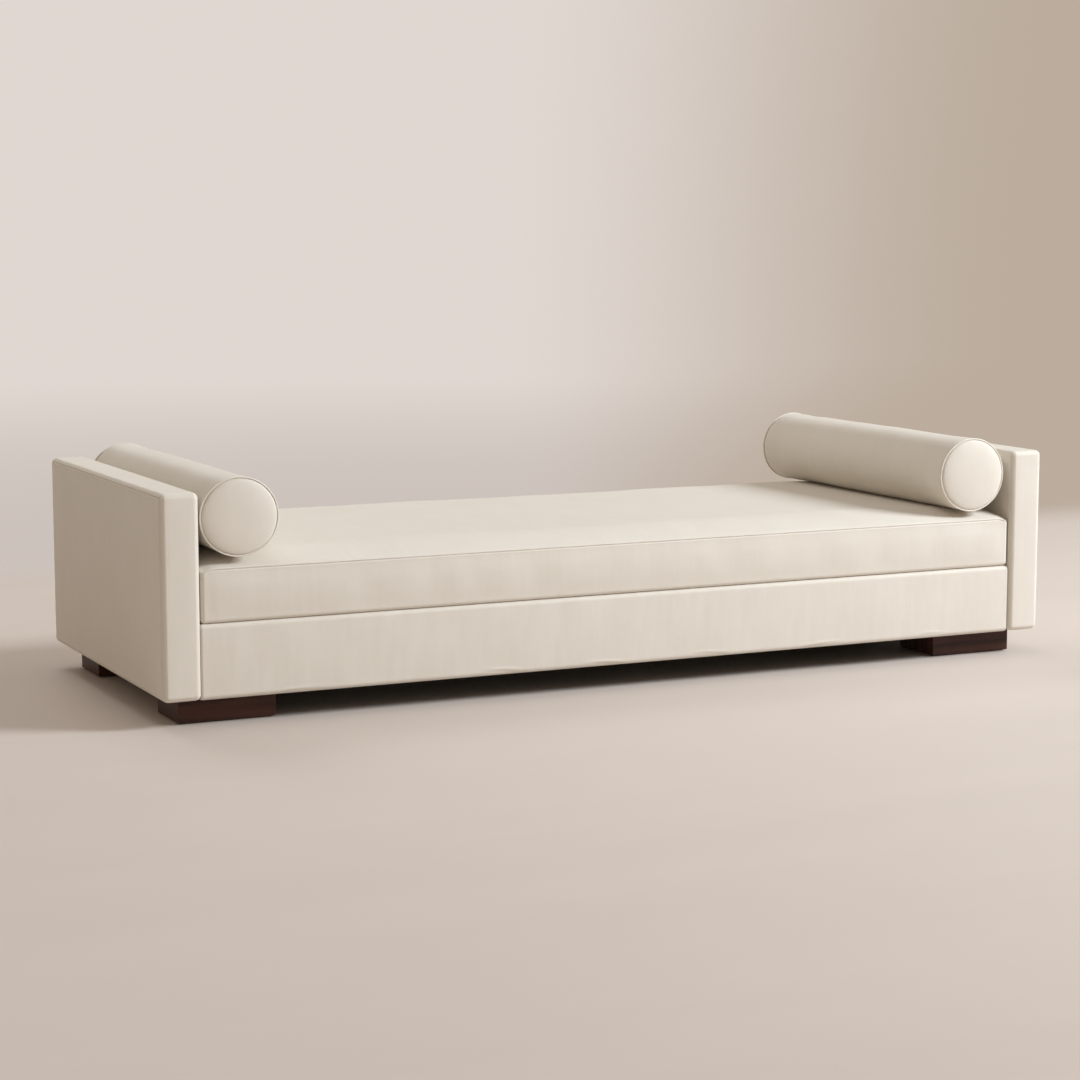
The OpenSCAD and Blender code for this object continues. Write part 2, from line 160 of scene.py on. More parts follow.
def timber(name, grain, light, dark, rough, shine):
    """Wood whose grain runs along one axis."""
    material, tree, shader = new_finish(name, {"Specular IOR Level": shine})
    scale = [1.0, 1.0, 1.0]
    scale["XYZ".index(grain)] = 0.045
    along = stretched(tree, own_place(tree), scale)
    rings = wave(tree, along, 11.0, 9.0, wave_type="RINGS", rings_direction=grain)
    rings.node.inputs["Detail"].default_value = 3.0
    rings.node.inputs["Detail Scale"].default_value = 1.6
    pores = noise(tree, along, 620.0, detail=2.0)
    cloud = noise(tree, along, 14.0, detail=4.0, roughness=0.6, distortion=0.8)
    share = blend(tree, (cloud, 0.55), (rings, 1.0))
    colour = tint(tree, spread(tree, share, 0.0, 1.0, 0.2, 1.3), dark, light)
    streaks = spread(tree, pores, 0.0, 0.5, 0.56, 0.72)
    colour = tint(tree, streaks, colour, dark)
    gloss = spread(tree, pores, rough - 0.05, rough + 0.1)
    coat(tree, shader, colour, gloss, pores, depth=0.00012, strength=0.5)
    return material


def dress(material, slot, *names):
    """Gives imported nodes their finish."""
    for name in names:
        nodes[name].data.materials.clear()
        nodes[name].data.materials.append(material)


PINE_LIGHT = (0.72, 0.50, 0.27)
PINE_DARK = (0.47, 0.27, 0.12)
SIDES = ("left", "right")
pine = {
    grain: timber("pine_along_" + grain.lower(), grain, PINE_LIGHT, PINE_DARK, rough=0.6, shine=0.4)
    for grain in "XYZ"
}
dress(pine["X"], "frame_pine", "base_front_rail", "base_back_rail", "centre_beam")
dress(pine["X"], "frame_pine", "slat_ledgers", "corner_blocks")
dress(pine["Y"], "frame_pine", "base_left_end_rail", "base_right_end_rail")
dress(pine["Y"], "frame_pine", "cross_rails", "deck_slats")
for side in SIDES:
    arm = f"arm_{side}_"
    dress(pine["Y"], "frame_pine", arm + "top_rail", arm + "bottom_rail")
    dress(pine["Z"], "frame_pine", arm + "front_post", arm + "back_post")
    dress(pine["Z"], "frame_pine", arm + "middle_stile")

# ---- Arm panels ----
# Thin birch plywood glued and pinned to both faces of each arm's frame. Its faces are a
# plain pale veneer, and its edges show the plies.

plywood, tree, shader = new_finish("birch_plywood", {"Specular IOR Level": 0.35})
place = own_place(tree)
plies = wave(tree, place, 160.0, 0.4, bands_direction="X")
upright = stretched(tree, place, (1.0, 1.0, 0.08))
figure = noise(tree, upright, 34.0, detail=5.0, roughness=0.6, distortion=1.2)
veneer = tint(tree, figure, (0.55, 0.38, 0.21), (0.74, 0.57, 0.36))
edge = tint(tree, plies, (0.40, 0.25, 0.13), (0.68, 0.50, 0.31))
facing = put(tree, "NewGeometry").node.outputs["Normal"]
across = maths(tree, "ABSOLUTE", put(tree, "SeparateXYZ", {"Vector": facing}))
colour = tint(tree, spread(tree, across, 0.0, 1.0, 0.4, 0.6), edge, veneer)
coat(tree, shader, colour, spread(tree, figure, 0.5, 0.68), figure, depth=0.0001, strength=0.4)
for side in SIDES:
    dress(plywood, "plywood", f"arm_{side}_inner_panel", f"arm_{side}_outer_panel")

# ---- Bolts and screws ----
# Zinc-plated steel: hexagon-headed bolts with washers and tee nuts hold the arms on, two
# long screws hold each foot, and a screw at each end holds every slat.

zinc, tree, shader = new_finish("zinc_plate", {"Metallic": 1.0})
place = own_place(tree)
spangle = put(tree, "TexVoronoi", {"Vector": place, "Scale": 900.0})
stain = noise(tree, place, 260.0, detail=4.0, roughness=0.6)
colour = tint(tree, stain, (0.50, 0.52, 0.55), (0.80, 0.81, 0.82))
coat(tree, shader, colour, spread(tree, stain, 0.22, 0.46), spangle, depth=0.00004, strength=0.5)
dress(zinc, "zinc_steel", "slat_screws", "foot_screws")
dress(zinc, "zinc_steel", "arm_bolts", "arm_washers", "arm_tee_nuts")

# ---- Base covers ----
# A strip of padded ivory cloth on the front and on the back of the base, drawn over the
# rail's face and stapled on its top and under it. The long edges are round, and the cloth
# pulls a little along the lower one.


def woven(name, light, dark, thread):
    """Tightly woven cloth: plain weave with slubs, and a soft lustre. thread is the
    spacing of its threads in metres, along the piece's own thread map."""
    values = {
        "Specular IOR Level": 0.32,
        "Sheen Weight": 0.22,
        "Sheen Roughness": 0.38,
        "Sheen Tint": (1.0, 0.95, 0.88, 1.0),
    }
    material, tree, shader = new_finish(name, values)
    threads = put(tree, "UVMap", uv_map="threads")
    wander = noise(tree, threads, 90.0, detail=2.0)
    split = put(tree, "SeparateXYZ", {"Vector": threads}).node
    swing = maths(tree, "MULTIPLY", wander, 2.4)
    warp_weft = []
    for axis in "XY":
        turns = maths(tree, "MULTIPLY", split.outputs[axis], 2 * math.pi / thread)
        warp_weft.append(maths(tree, "SINE", maths(tree, "ADD", turns, swing)))
    over = spread(tree, maths(tree, "MULTIPLY", *warp_weft), 0.0, 1.0, -1.0, 1.0)
    slub = noise(tree, stretched(tree, threads, (1.0, 0.05, 1.0)), 420.0, detail=2.0, roughness=0.6)
    streak = noise(tree, stretched(tree, threads, (1.0, 0.07, 1.0)), 62.0, detail=3.0, roughness=0.55)
    pick = noise(tree, stretched(tree, threads, (0.05, 1.0, 1.0)), 300.0, detail=2.0, roughness=0.6)
    mottle = noise(tree, threads, 7.0, detail=3.0, roughness=0.55)
    share = blend(
        tree, (over, 0.16), (slub, 0.24), (streak, 0.25), (pick, 0.10), (mottle, 0.34)
    )
    colour = tint(tree, spread(tree, share, 0.0, 1.0, 0.22, 0.94), dark, light)
    rough = spread(tree, slub, 0.50, 0.66, 0.25, 0.75)
    height = blend(tree, (over, 0.5), (slub, 1.0), (streak, 0.8))
    coat(tree, shader, colour, rough, height, depth=0.00022, strength=0.6)
    return material


def spaced(start, end, fine, zone, coarse):
    """Values from start to end, fine apart within zone of each end, and coarse between."""
    half = (end - start) / 2
    steps = [0.0]
    gap = fine
    while steps[-1] + gap < half - 0.3 * gap:
        steps.append(steps[-1] + gap)
        if steps[-1] > zone:
            gap = min(coarse, gap * 1.3)
    steps = np.array(steps)
    return start + np.concatenate([steps, [half], 2 * half - steps[::-1]])


def ripples(seed, shortest, longest, count=14):
    """A smooth random surface with values mostly from -1 to 1, over two lengths."""
    draw = np.random.default_rng(seed)
    waves = 2 * math.pi / draw.uniform(shortest, longest, count)
    ways = draw.uniform(0, 2 * math.pi, count)
    starts = draw.uniform(0, 2 * math.pi, count)

    def height(u, v):
        total = np.zeros(np.broadcast(u, v).shape)
        for wave, way, begin in zip(waves, ways, starts):
            total += np.sin(wave * (u * math.cos(way) + v * math.sin(way)) + begin)
        return total / math.sqrt(2 * count)

    return height


def ease(value):
    """Goes smoothly from 0 to 1 as value does."""
    value = np.clip(value, 0, 1)
    return value * value * (3 - 2 * value)


def hump(distance, width):
    return np.exp(-((distance / width) ** 2))


def outward(points, faces):
    """The direction out of the surface at each point."""
    across = points[faces[:, 2]] - points[faces[:, 0]]
    down = points[faces[:, 3]] - points[faces[:, 1]]
    flat = np.cross(across, down)
    found = np.zeros_like(points)
    for corner in range(4):
        np.add.at(found, faces[:, corner], flat)
    return found / np.maximum(np.linalg.norm(found, axis=1), 1e-12)[:, None]


def make_piece(name, points, faces, material, threads=None):
    """A smooth piece from its points and a list of faces, with its thread map if it has
    one."""
    mesh = bpy.data.meshes.new(name)
    mesh.from_pydata(np.asarray(points).tolist(), [], faces)
    mesh.update()
    if threads is not None:
        layer = mesh.uv_layers.new(name="threads")
        layer.data.foreach_set("uv", np.asarray(threads, np.float32).ravel())
    mesh.polygons.foreach_set("use_smooth", [True] * len(mesh.polygons))
    mesh.materials.append(material)
    made = bpy.data.objects.new(name, mesh)
    scene.collection.objects.link(made)
    return made


IVORY_LIGHT = (0.775, 0.722, 0.640)
IVORY_DARK = (0.665, 0.606, 0.522)
ivory_cloth = woven("ivory_cloth", IVORY_LIGHT, IVORY_DARK, 0.0011)
COVER_EDGE_R = 0.012
COVER_TURN_IN = 0.040
COVER_END_R = 0.006
COVER_FULL = 0.0016
COVER_WAVES = 0.0006
COVER_INNER_T = 0.0026
CREASE_UP = 0.0014
CREASE_DOWN = 0.0009
RAIL_GAP = 0.0005


def cover_section(half, bottom, top, turn_in, edge_r, rail):
    """Outline of a cover's cross-section, out from the middle of the base, closed: the
    cloth's outer side, then its inner side against the rail."""
    turned_in = spaced(turn_in, half - edge_r, 0.004, 0.0, 0.007)
    upright = spaced(bottom + edge_r, top - edge_r, 0.002, 0.012, 0.007)
    turns = [math.pi / 2 * step / 10 for step in range(1, 11)]
    outer = [(y, top) for y in turned_in]
    for a in turns:
        outer.append((half - edge_r * (1 - math.sin(a)), top - edge_r * (1 - math.cos(a))))
    outer += [(half, z) for z in upright[::-1][1:]]
    for a in turns:
        outer.append((half - edge_r * (1 - math.cos(a)), bottom + edge_r * (1 - math.sin(a))))
    outer += [(y, bottom) for y in turned_in[::-1][1:]]
    rail_in, rail_out, rail_bottom, rail_top = rail
    inner = [
        (turn_in, rail_bottom - RAIL_GAP),
        (rail_out + RAIL_GAP, rail_bottom - RAIL_GAP),
        (rail_out + RAIL_GAP, rail_top + RAIL_GAP),
        (rail_in - RAIL_GAP, rail_top + RAIL_GAP),
        (rail_in - RAIL_GAP, top - COVER_INNER_T),
        (turn_in, top - COVER_INNER_T),
    ]
    return np.array(outer), np.array(inner)


def base_cover(name, face, seed):
    """One padded cover, on the front where face is -1 and on the back where it is 1."""
    which = "front" if face < 0 else "back"
    low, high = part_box(f"base_{which}_cover")
    rail_low, rail_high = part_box(f"base_{which}_rail")
    half = max(abs(low.y), abs(high.y))
    rail_near = min(abs(rail_low.y), abs(rail_high.y))
    rail_far = max(abs(rail_low.y), abs(rail_high.y))
    rail = (rail_near, rail_far, rail_low.z, rail_high.z)
    turn_in = half - COVER_TURN_IN
    outer, inner = cover_section(half, low.z, high.z, turn_in, COVER_EDGE_R, rail)
    along = np.concatenate(([0], np.cumsum(np.linalg.norm(np.diff(outer, axis=0), axis=1))))
    xs = spaced(low.x, high.x, 0.0012, 0.012, 0.009)

    ahead = np.gradient(outer, axis=0)
    ahead /= np.linalg.norm(ahead, axis=1)[:, None]
    out_way = np.stack([-ahead[:, 1], ahead[:, 0]], 1)
    x, _ = np.meshgrid(xs, along, indexing="ij")
    y = np.broadcast_to(outer[:, 0], x.shape)
    z = np.broadcast_to(outer[:, 1], x.shape)

    # The ends are round, as the cloth turns in beside the arm.
    from_end = np.minimum(x - low.x, high.x - x)
    short = np.clip(COVER_END_R - from_end, 0, COVER_END_R)
    lift = np.sqrt(COVER_END_R**2 - short**2) - COVER_END_R

    # The face stands a little full between its edges, and its padding is never quite even.
    on_face = ease((y - half + 0.010) / 0.010) * ease(from_end / 0.06)
    height = np.clip((z - low.z) / (high.z - low.z), 0, 1)
    lift = lift + COVER_FULL * on_face * np.sin(math.pi * height) ** 0.7
    lift = lift + COVER_WAVES * on_face * ripples(seed, 0.12, 0.55)(x, z)
    lift = lift + 0.00022 * on_face * ripples(seed + 1, 0.03, 0.07)(x, z * 0.3)

    # The cloth is drawn tight under the rail, which leaves long, shallow creases just above
    # the lower edge.
    draw = np.random.default_rng(seed + 2)
    for pull in (-0.92, -0.38, -0.08, 0.225, 0.565, 0.89):
        middle = pull + draw.uniform(-0.01, 0.01)
        reach = draw.uniform(0.055, 0.080)
        tilt = draw.uniform(-0.004, 0.004)
        up = draw.uniform(0.012, 0.017)
        strength = draw.uniform(0.7, 1.0)
        u = (x - middle) / reach
        line = low.z + up + tilt * u - 0.005 * u**2
        fade = strength * np.clip(1 - u**2, 0, 1) ** 2
        lift = lift + CREASE_UP * fade * hump(z - line, 0.0036)
        lift = lift - CREASE_DOWN * fade * hump(z - line + 0.0070, 0.0045)
    under = (z < low.z + 0.002) & (y < half - 0.004)
    lift = np.where(under, np.clip(lift, -0.001, 0.0), lift)

    outer_points = np.stack([x, face * (y + lift * out_way[:, 0]), z + lift * out_way[:, 1]], -1)
    inner_x, inner_y = np.meshgrid(xs, face * inner[:, 0], indexing="ij")
    inner_z = np.broadcast_to(inner[:, 1], inner_x.shape)
    inner_points = np.stack([inner_x, inner_y, inner_z], -1)
    loop = np.concatenate([outer_points, inner_points], axis=1)
    rows, columns = loop.shape[:2]
    number = np.arange(rows * columns).reshape(rows, columns)
    nxt = np.roll(number, -1, axis=1)
    quads = np.stack([number[:-1], nxt[:-1], nxt[1:], number[1:]], -1).reshape(-1, 4)
    if face > 0:
        quads = quads[:, ::-1]
    faces = quads.tolist()
    # Each end is closed by a fan of strips from the outer side to the inner one.
    outer_count = len(outer)
    for row in (0, rows - 1):
        first = number[row]
        inner_of = np.round(np.linspace(columns - 1, outer_count, outer_count)).astype(int)
        for i in range(outer_count - 1):
            corners = [first[i], first[i + 1], first[inner_of[i + 1]], first[inner_of[i]]]
            kept = list(dict.fromkeys(corners))
            if (row == 0) == (face < 0):
                kept = kept[::-1]
            faces.append(kept)
    thread_v = np.concatenate([along, [along[-1]] * len(inner)])
    threads = np.stack([np.repeat(xs, columns), np.tile(thread_v, rows)], 1)
    threads = threads[np.concatenate(faces)]
    cover = make_piece(name, loop.reshape(-1, 3), faces, ivory_cloth, threads)
    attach(cover, "frame")
    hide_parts(f"base_{which}_cover", f"base_{which}_padding")


base_cover("front_cover", -1, 11)
base_cover("back_cover", 1, 31)

# ---- Deck cloth and dust cover ----
# A sheet of the same cloth is stretched over the slats between the two covers, and a
# Both are held by wire staples; a row of them is drawn round the dust cover's edge, and a
# row of stitches along each long edge of the deck sheet.


def stretched_sheet(name, box, lines, material, sag, thickness):
    """A thin closed sheet over a box's area. sag gives how far it hangs at x and y."""
    low, high = box
    xs = np.linspace(low.x, high.x, lines[0])
    ys = np.linspace(low.y, high.y, lines[1])
    x, y = np.meshgrid(xs, ys, indexing="ij")
    top = high.z - sag(x, y)
    number = np.arange(x.size).reshape(x.shape)
    quads = [number[:-1, :-1], number[1:, :-1], number[1:, 1:], number[:-1, 1:]]
    quads = np.stack(quads, -1).reshape(-1, 4)
    rim = np.concatenate([number[:, 0], number[-1, 1:], number[-2::-1, -1], number[0, -2:0:-1]])
    upper = np.stack([x, y, top], -1).reshape(-1, 3)
    lower = upper - [0, 0, thickness]
    count = x.size
    walls = np.stack([rim, rim + count, np.roll(rim, -1) + count, np.roll(rim, -1)], -1)
    faces = np.concatenate([quads, quads[:, ::-1] + count, walls])
    points = np.concatenate([upper, lower])
    threads = points[faces.ravel()][:, :2]
    return make_piece(name, points, faces.tolist(), material, threads)


deck_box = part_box("deck_cloth")
SLAT_COUNT = 15
slat_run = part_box("base_right_end_rail")[0].x
slat_pitch = 2 * slat_run / SLAT_COUNT


def deck_sag(x, y):
    """The cloth dips between the slats, and is tight along its edges."""
    along = (x + slat_run) / slat_pitch
    gap = 0.5 - 0.5 * np.cos(2 * math.pi * (along - np.round(along) + 0.5))
    edge = np.minimum(x - deck_box[0].x, deck_box[1].x - x)
    side_edge = np.minimum(y - deck_box[0].y, deck_box[1].y - y)
    hold = ease(edge / 0.04) * ease(side_edge / 0.06)
    dip = (1 - gap) ** 2
    return 0.0002 + hold * (0.0014 * dip + 0.0003 * ripples(5, 0.05, 0.3)(x, y))


DECK_LINES = (260, 100)
deck_sheet = stretched_sheet(
    "deck_sheet", deck_box, DECK_LINES, ivory_cloth, deck_sag, thickness=0.0008
)
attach(deck_sheet, "frame")
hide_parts("deck_cloth")

bonded, tree, shader = new_finish("bonded_cloth", {"Specular IOR Level": 0.2})
place = own_place(tree)
dimple = put(tree, "TexVoronoi", {"Vector": place, "Scale": 420.0, "Randomness": 0.25})
fibre = noise(tree, place, 900.0, detail=4.0, roughness=0.7, distortion=1.0)
colour = tint(tree, fibre, (0.012, 0.012, 0.013), (0.045, 0.045, 0.048))
coat(tree, shader, colour, spread(tree, dimple, 0.72, 0.95), dimple, depth=0.0003, strength=0.8)
dust_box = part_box("dust_cover")
foot_low, foot_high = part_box("foot_front_right")


def dust_sag(x, y):
    """The cloth hangs a little along the middle, and lies flat by the feet."""
    clear = ease((foot_low.x - 0.06 - np.abs(x)) / 0.25)
    side_edge = np.minimum(y - dust_box[0].y, dust_box[1].y - y)
    hang = 0.5 + 0.5 * ripples(7, 0.15, 0.8)(x, y)
    return 0.0005 + 0.0022 * clear * ease(side_edge / 0.15) * np.clip(hang, 0, 1)


DUST_LINES = (170, 66)
dust_sheet = stretched_sheet(
    "dust_sheet", dust_box, DUST_LINES, bonded, dust_sag, thickness=0.0006
)
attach(dust_sheet, "frame")
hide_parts("dust_cover")


def node_rule(name, *inputs):
    """An empty set of geometry nodes with these inputs. Gives it back with what adds a
    node, what joins two sockets, the inputs, and what ends it with smooth, finished faces."""
    group = bpy.data.node_groups.new(name, "GeometryNodeTree")
    kinds = (("Base", "Geometry"), *inputs, ("Finish", "Material"))
    for label, kind in kinds:
        group.interface.new_socket(label, in_out="INPUT", socket_type="NodeSocket" + kind)
    group.interface.new_socket("Made", in_out="OUTPUT", socket_type="NodeSocketGeometry")
    add, join = group.nodes.new, group.links.new
    given, result = add("NodeGroupInput"), add("NodeGroupOutput")

    def end_with(shape):
        real, soft = add("GeometryNodeRealizeInstances"), add("GeometryNodeSetShadeSmooth")
        finish = add("GeometryNodeSetMaterial")
        join(shape, real.inputs[0])
        join(real.outputs[0], soft.inputs["Geometry"])
        join(soft.outputs[0], finish.inputs["Geometry"])
        join(given.outputs["Finish"], finish.inputs["Material"])
        join(finish.outputs[0], result.inputs[0])

    return group, add, join, given, end_with


def bead_in(add):
    """A rounded bead one metre across, with few faces, to be scaled and repeated."""
    bead = add("GeometryNodeMeshUVSphere")
    bead.inputs["Segments"].default_value = 6
    bead.inputs["Rings"].default_value = 4
    bead.inputs["Radius"].default_value = 0.5
    return bead


def row_maker():
    """Geometry nodes that set short rounded bars along a path, end to end."""
    inputs = (("Pitch", "Float"), ("Bar length", "Float"), ("Bar thickness", "Float"))
    group, add, join, given, end_with = node_rule("row_of_bars", *inputs)
    curve, dots = add("GeometryNodeMeshToCurve"), add("GeometryNodeCurveToPoints")
    dots.mode = "LENGTH"
    join(given.outputs["Base"], curve.inputs["Mesh"])
    join(curve.outputs[0], dots.inputs["Curve"])
    join(given.outputs["Pitch"], dots.inputs["Length"])
    bar, shape = bead_in(add), add("GeometryNodeTransform")
    size = add("ShaderNodeCombineXYZ")
    for axis, label in (("X", "Bar thickness"), ("Y", "Bar thickness"), ("Z", "Bar length")):
        join(given.outputs[label], size.inputs[axis])
    join(bar.outputs["Mesh"], shape.inputs["Geometry"])
    join(size.outputs[0], shape.inputs["Scale"])
    placed = add("GeometryNodeInstanceOnPoints")
    join(dots.outputs["Points"], placed.inputs["Points"])
    join(dots.outputs["Rotation"], placed.inputs["Rotation"])
    join(shape.outputs[0], placed.inputs["Instance"])
    end_with(placed.outputs[0])
    return group


row_of_bars = row_maker()


def as_plain_mesh(made, name):
    """Turns what a piece's modifiers make into a plain mesh, on a piece of its own."""
    evaluated = made.evaluated_get(bpy.context.evaluated_depsgraph_get())
    mesh = bpy.data.meshes.new_from_object(evaluated)
    plain = bpy.data.objects.new(name, mesh)
    scene.collection.objects.link(plain)
    bpy.data.objects.remove(made)
    plain.name = name
    mesh.name = name
    return plain


def follow(group, name, mesh, values):
    """What a set of geometry nodes makes from a mesh and these inputs, as a plain mesh."""
    made = bpy.data.objects.new(name + "_rule", mesh)
    scene.collection.objects.link(made)
    modifier = made.modifiers.new("rule", "NODES")
    modifier.node_group = group
    for item in group.interface.items_tree:
        if item.in_out == "INPUT" and item.name in values:
            modifier[item.identifier] = values[item.name]
    return as_plain_mesh(made, name)


def row(name, paths, material, pitch, long, thick):
    """Bars along one or more paths, each a list of points, as one plain mesh."""
    points, edges = [], []
    for path in paths:
        start = len(points)
        points += [tuple(p) for p in path]
        edges += [(start + i, start + i + 1) for i in range(len(path) - 1)]
    mesh = bpy.data.meshes.new(name + "_path")
    mesh.from_pydata(points, edges, [])
    values = {"Pitch": pitch, "Bar length": long, "Bar thickness": thick}
    return follow(row_of_bars, name, mesh, {**values, "Finish": material})


def rectangle(box, inset, z):
    """The corners of a box's outline taken in by inset, at height z, back to the start."""
    low, high = box
    left, right = low.x + inset, high.x - inset
    front, back = low.y + inset, high.y - inset
    corners = [(left, front, z), (right, front, z), (right, back, z), (left, back, z)]
    return corners + corners[:1]


staple_line = rectangle(dust_box, 0.008, dust_box[0].z + 0.0003)
dust_staples = row("dust_sheet_staples", [staple_line], zinc, pitch=0.052, long=0.011, thick=0.0011)
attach(dust_staples, "frame")

thread, tree, shader = new_finish("sewing_thread", {"Sheen Weight": 0.3})
twist = wave(tree, own_place(tree), 900.0, 0.5, bands_direction="DIAGONAL")
wire(tree, tint(tree, twist, (0.56, 0.49, 0.40), (0.72, 0.65, 0.55)), shader, "Base Color")
wire(tree, spread(tree, twist, 0.45, 0.6), shader, "Roughness")
deck_seams = [
    [(x, y, deck_box[1].z + 0.0001) for x in (deck_box[0].x, deck_box[1].x)]
    for y in (deck_box[0].y + 0.004, deck_box[1].y - 0.004)
]
deck_stitches = row(
    "deck_sheet_stitches", deck_seams, thread, pitch=0.0046, long=0.0034, thick=0.0007
)
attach(deck_stitches, "frame")

# ---- Feet ----
# Four solid blocks stained a very dark brown and rubbed to a satin, their edges just eased.
# Each is bored from below for its two screws and stands on a felt pad.

STAIN_LIGHT = (0.070, 0.025, 0.016)
STAIN_DARK = (0.030, 0.011, 0.008)
espresso = timber("espresso_wood", "X", STAIN_LIGHT, STAIN_DARK, rough=0.4, shine=0.22)


def ease_edges(piece, width, segments, angle):
    """Rounds every edge of a piece that is sharper than an angle."""
    eased = piece.modifiers.new("eased", "BEVEL")
    eased.width = width
    eased.segments = segments
    eased.limit_method = "ANGLE"
    eased.angle_limit = math.radians(angle)


for corner in ("front_left", "front_right", "back_left", "back_right"):
    mesh = nodes["foot_" + corner].data.copy()
    mesh.materials.clear()
    mesh.materials.append(espresso)
    foot = bpy.data.objects.new(corner + "_foot", mesh)
    scene.collection.objects.link(foot)
    weld = foot.modifiers.new("weld", "WELD")
    weld.merge_threshold = 0.00002
    flat = foot.modifiers.new("flat", "DECIMATE")
    flat.decimate_type = "DISSOLVE"
    flat.angle_limit = math.radians(2)
    ease_edges(foot, width=0.0011, segments=3, angle=40)
    foot = as_plain_mesh(foot, corner + "_foot")
    foot.data.polygons.foreach_set("use_smooth", [False] * len(foot.data.polygons))
    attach(foot, "frame")
    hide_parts("foot_" + corner)

# ---- Felt pads ----
# A pad of grey pressed felt is glued under each foot. It is soft at the edges, and its
# fibres stand up a little.


def box_grid(xs, ys, zs):
    """Points, faces, and the side that each face is on, for a box whose sides carry these
    lines. The patches give each side's axes and its points as a grid."""
    lines = (xs, ys, zs)
    keys, faces, sides, patches = [], [], [], []
    start = 0
    for axis in range(3):
        b, c = (axis + 1) % 3, (axis + 2) % 3
        for end in (0, 1):
            shape = (len(lines[b]), len(lines[c]))
            at_b, at_c = np.meshgrid(range(shape[0]), range(shape[1]), indexing="ij")
            key = np.zeros((*shape, 3), int)
            key[..., axis] = end * (len(lines[axis]) - 1)
            key[..., b] = at_b
            key[..., c] = at_c
            number = start + np.arange(at_b.size).reshape(shape)
            quads = [number[:-1, :-1], number[1:, :-1], number[1:, 1:], number[:-1, 1:]]
            quads = np.stack(quads, -1).reshape(-1, 4)
            faces.append(quads if end else quads[:, ::-1])
            sides.append(np.full(len(quads), 2 * axis + end))
            patches.append((b, c, number))
            keys.append(key.reshape(-1, 3))
            start += at_b.size
    unique, where = np.unique(np.concatenate(keys), axis=0, return_inverse=True)
    where = where.ravel()
    points = np.stack([np.asarray(lines[k])[unique[:, k]] for k in range(3)], 1)
    patches = [(b, c, where[number]) for b, c, number in patches]
    return points, where[np.concatenate(faces)], np.concatenate(sides), patches


def round_off(points, low, high, radius):
    """Rounds the edges of a box's surface."""
    inner = np.clip(points, np.array(low) + radius, np.array(high) - radius)
    away = points - inner
    length = np.linalg.norm(away, axis=1)
    reach = np.abs(away).max(axis=1)
    scale = np.where(length > 1e-9, reach / np.maximum(length, 1e-12), 1.0)
    return inner + away * scale[:, None]


THREAD_AXES = ((1, 2), (1, 2), (0, 2), (0, 2), (0, 1), (0, 1))


def side_threads(points, faces, sides):
    """Where each face's corners fall on the cloth, with the warp upright on the sides."""
    axes = np.array(THREAD_AXES)[np.repeat(sides, 4)]
    corners = points[faces.ravel()]
    each = np.arange(len(corners))
    return np.stack([corners[each, axes[:, 0]], corners[each, axes[:, 1]]], 1)


felt, tree, shader = new_finish("grey_felt", {"Specular IOR Level": 0.15, "Sheen Weight": 0.5})
place = own_place(tree)
hair = noise(tree, place, 700.0, detail=6.0, roughness=0.75, distortion=2.0)
lint = noise(tree, place, 90.0, detail=3.0, roughness=0.6)
colour = tint(tree, hair, (0.055, 0.048, 0.042), (0.17, 0.15, 0.135))
colour = tint(tree, spread(tree, lint, 0.0, 0.35), colour, (0.2, 0.18, 0.16))
coat(tree, shader, colour, spread(tree, hair, 0.85, 1.0), hair, depth=0.0006, strength=0.9)
pads_low, pads_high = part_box("foot_felt_pads")
PAD_R = 0.0008
pad_length = foot_high.x - foot_low.x - 2 * (foot_high.x - pads_high.x)
pad_width = foot_high.y - foot_low.y - 2 * (-foot_low.y - pads_high.y)


def rounded_boxes(boxes, radius, spacings):
    """Points and faces of several boxes with rounded edges, as one. The spacings are the
    places of the lines on each box, given its lowest and highest corners."""
    points, faces, count = [], [], 0
    for low, high in boxes:
        grid, quads, _, _ = box_grid(*spacings(low, high))
        points.append(round_off(grid, low, high, radius))
        faces.append(quads + count)
        count += len(grid)
    return np.concatenate(points), np.concatenate(faces).tolist()


def pad_lines(low, high):
    return [spaced(low[k], high[k], 0.0005, 0.001, 0.007) for k in range(3)]


pad_boxes = []
for side in (-1, 1):
    for face in (-1, 1):
        ends = sorted((side * pads_high.x, side * (pads_high.x - pad_length)))
        edges = sorted((face * pads_high.y, face * (pads_high.y - pad_width)))
        pad_boxes.append(list(zip(ends, edges, (pads_low.z, pads_high.z))))
felt_pads = make_piece("felt_pads", *rounded_boxes(pad_boxes, PAD_R, pad_lines), felt)
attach(felt_pads, "frame")
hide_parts("foot_felt_pads")

# ---- Arms ----
# Each arm is padded all round and wears a fitted cover of three panels: a strip over the
# front, top and back, and two sides. The seams lie on the sides, just in from the edges.

ARM_R = 0.014
SEAM_IN = 0.0085
SEAM_DEPTH = 0.0021
STITCH_BESIDE = 0.0034
SEAM_START_UP = 0.03
ARM_FULL = 0.0011
ARM_WAVES = 0.0007
STRIP_FULL = 0.0007


def seam(distance, depth, lip=0.30):
    """The relief across a sewn seam: a narrow valley with a soft lip on each side."""
    valley = -depth * hump(distance, 0.0013)
    lips = hump(distance - 0.0034, 0.0019) + hump(distance + 0.0034, 0.0019)
    return valley + lip * depth * lips


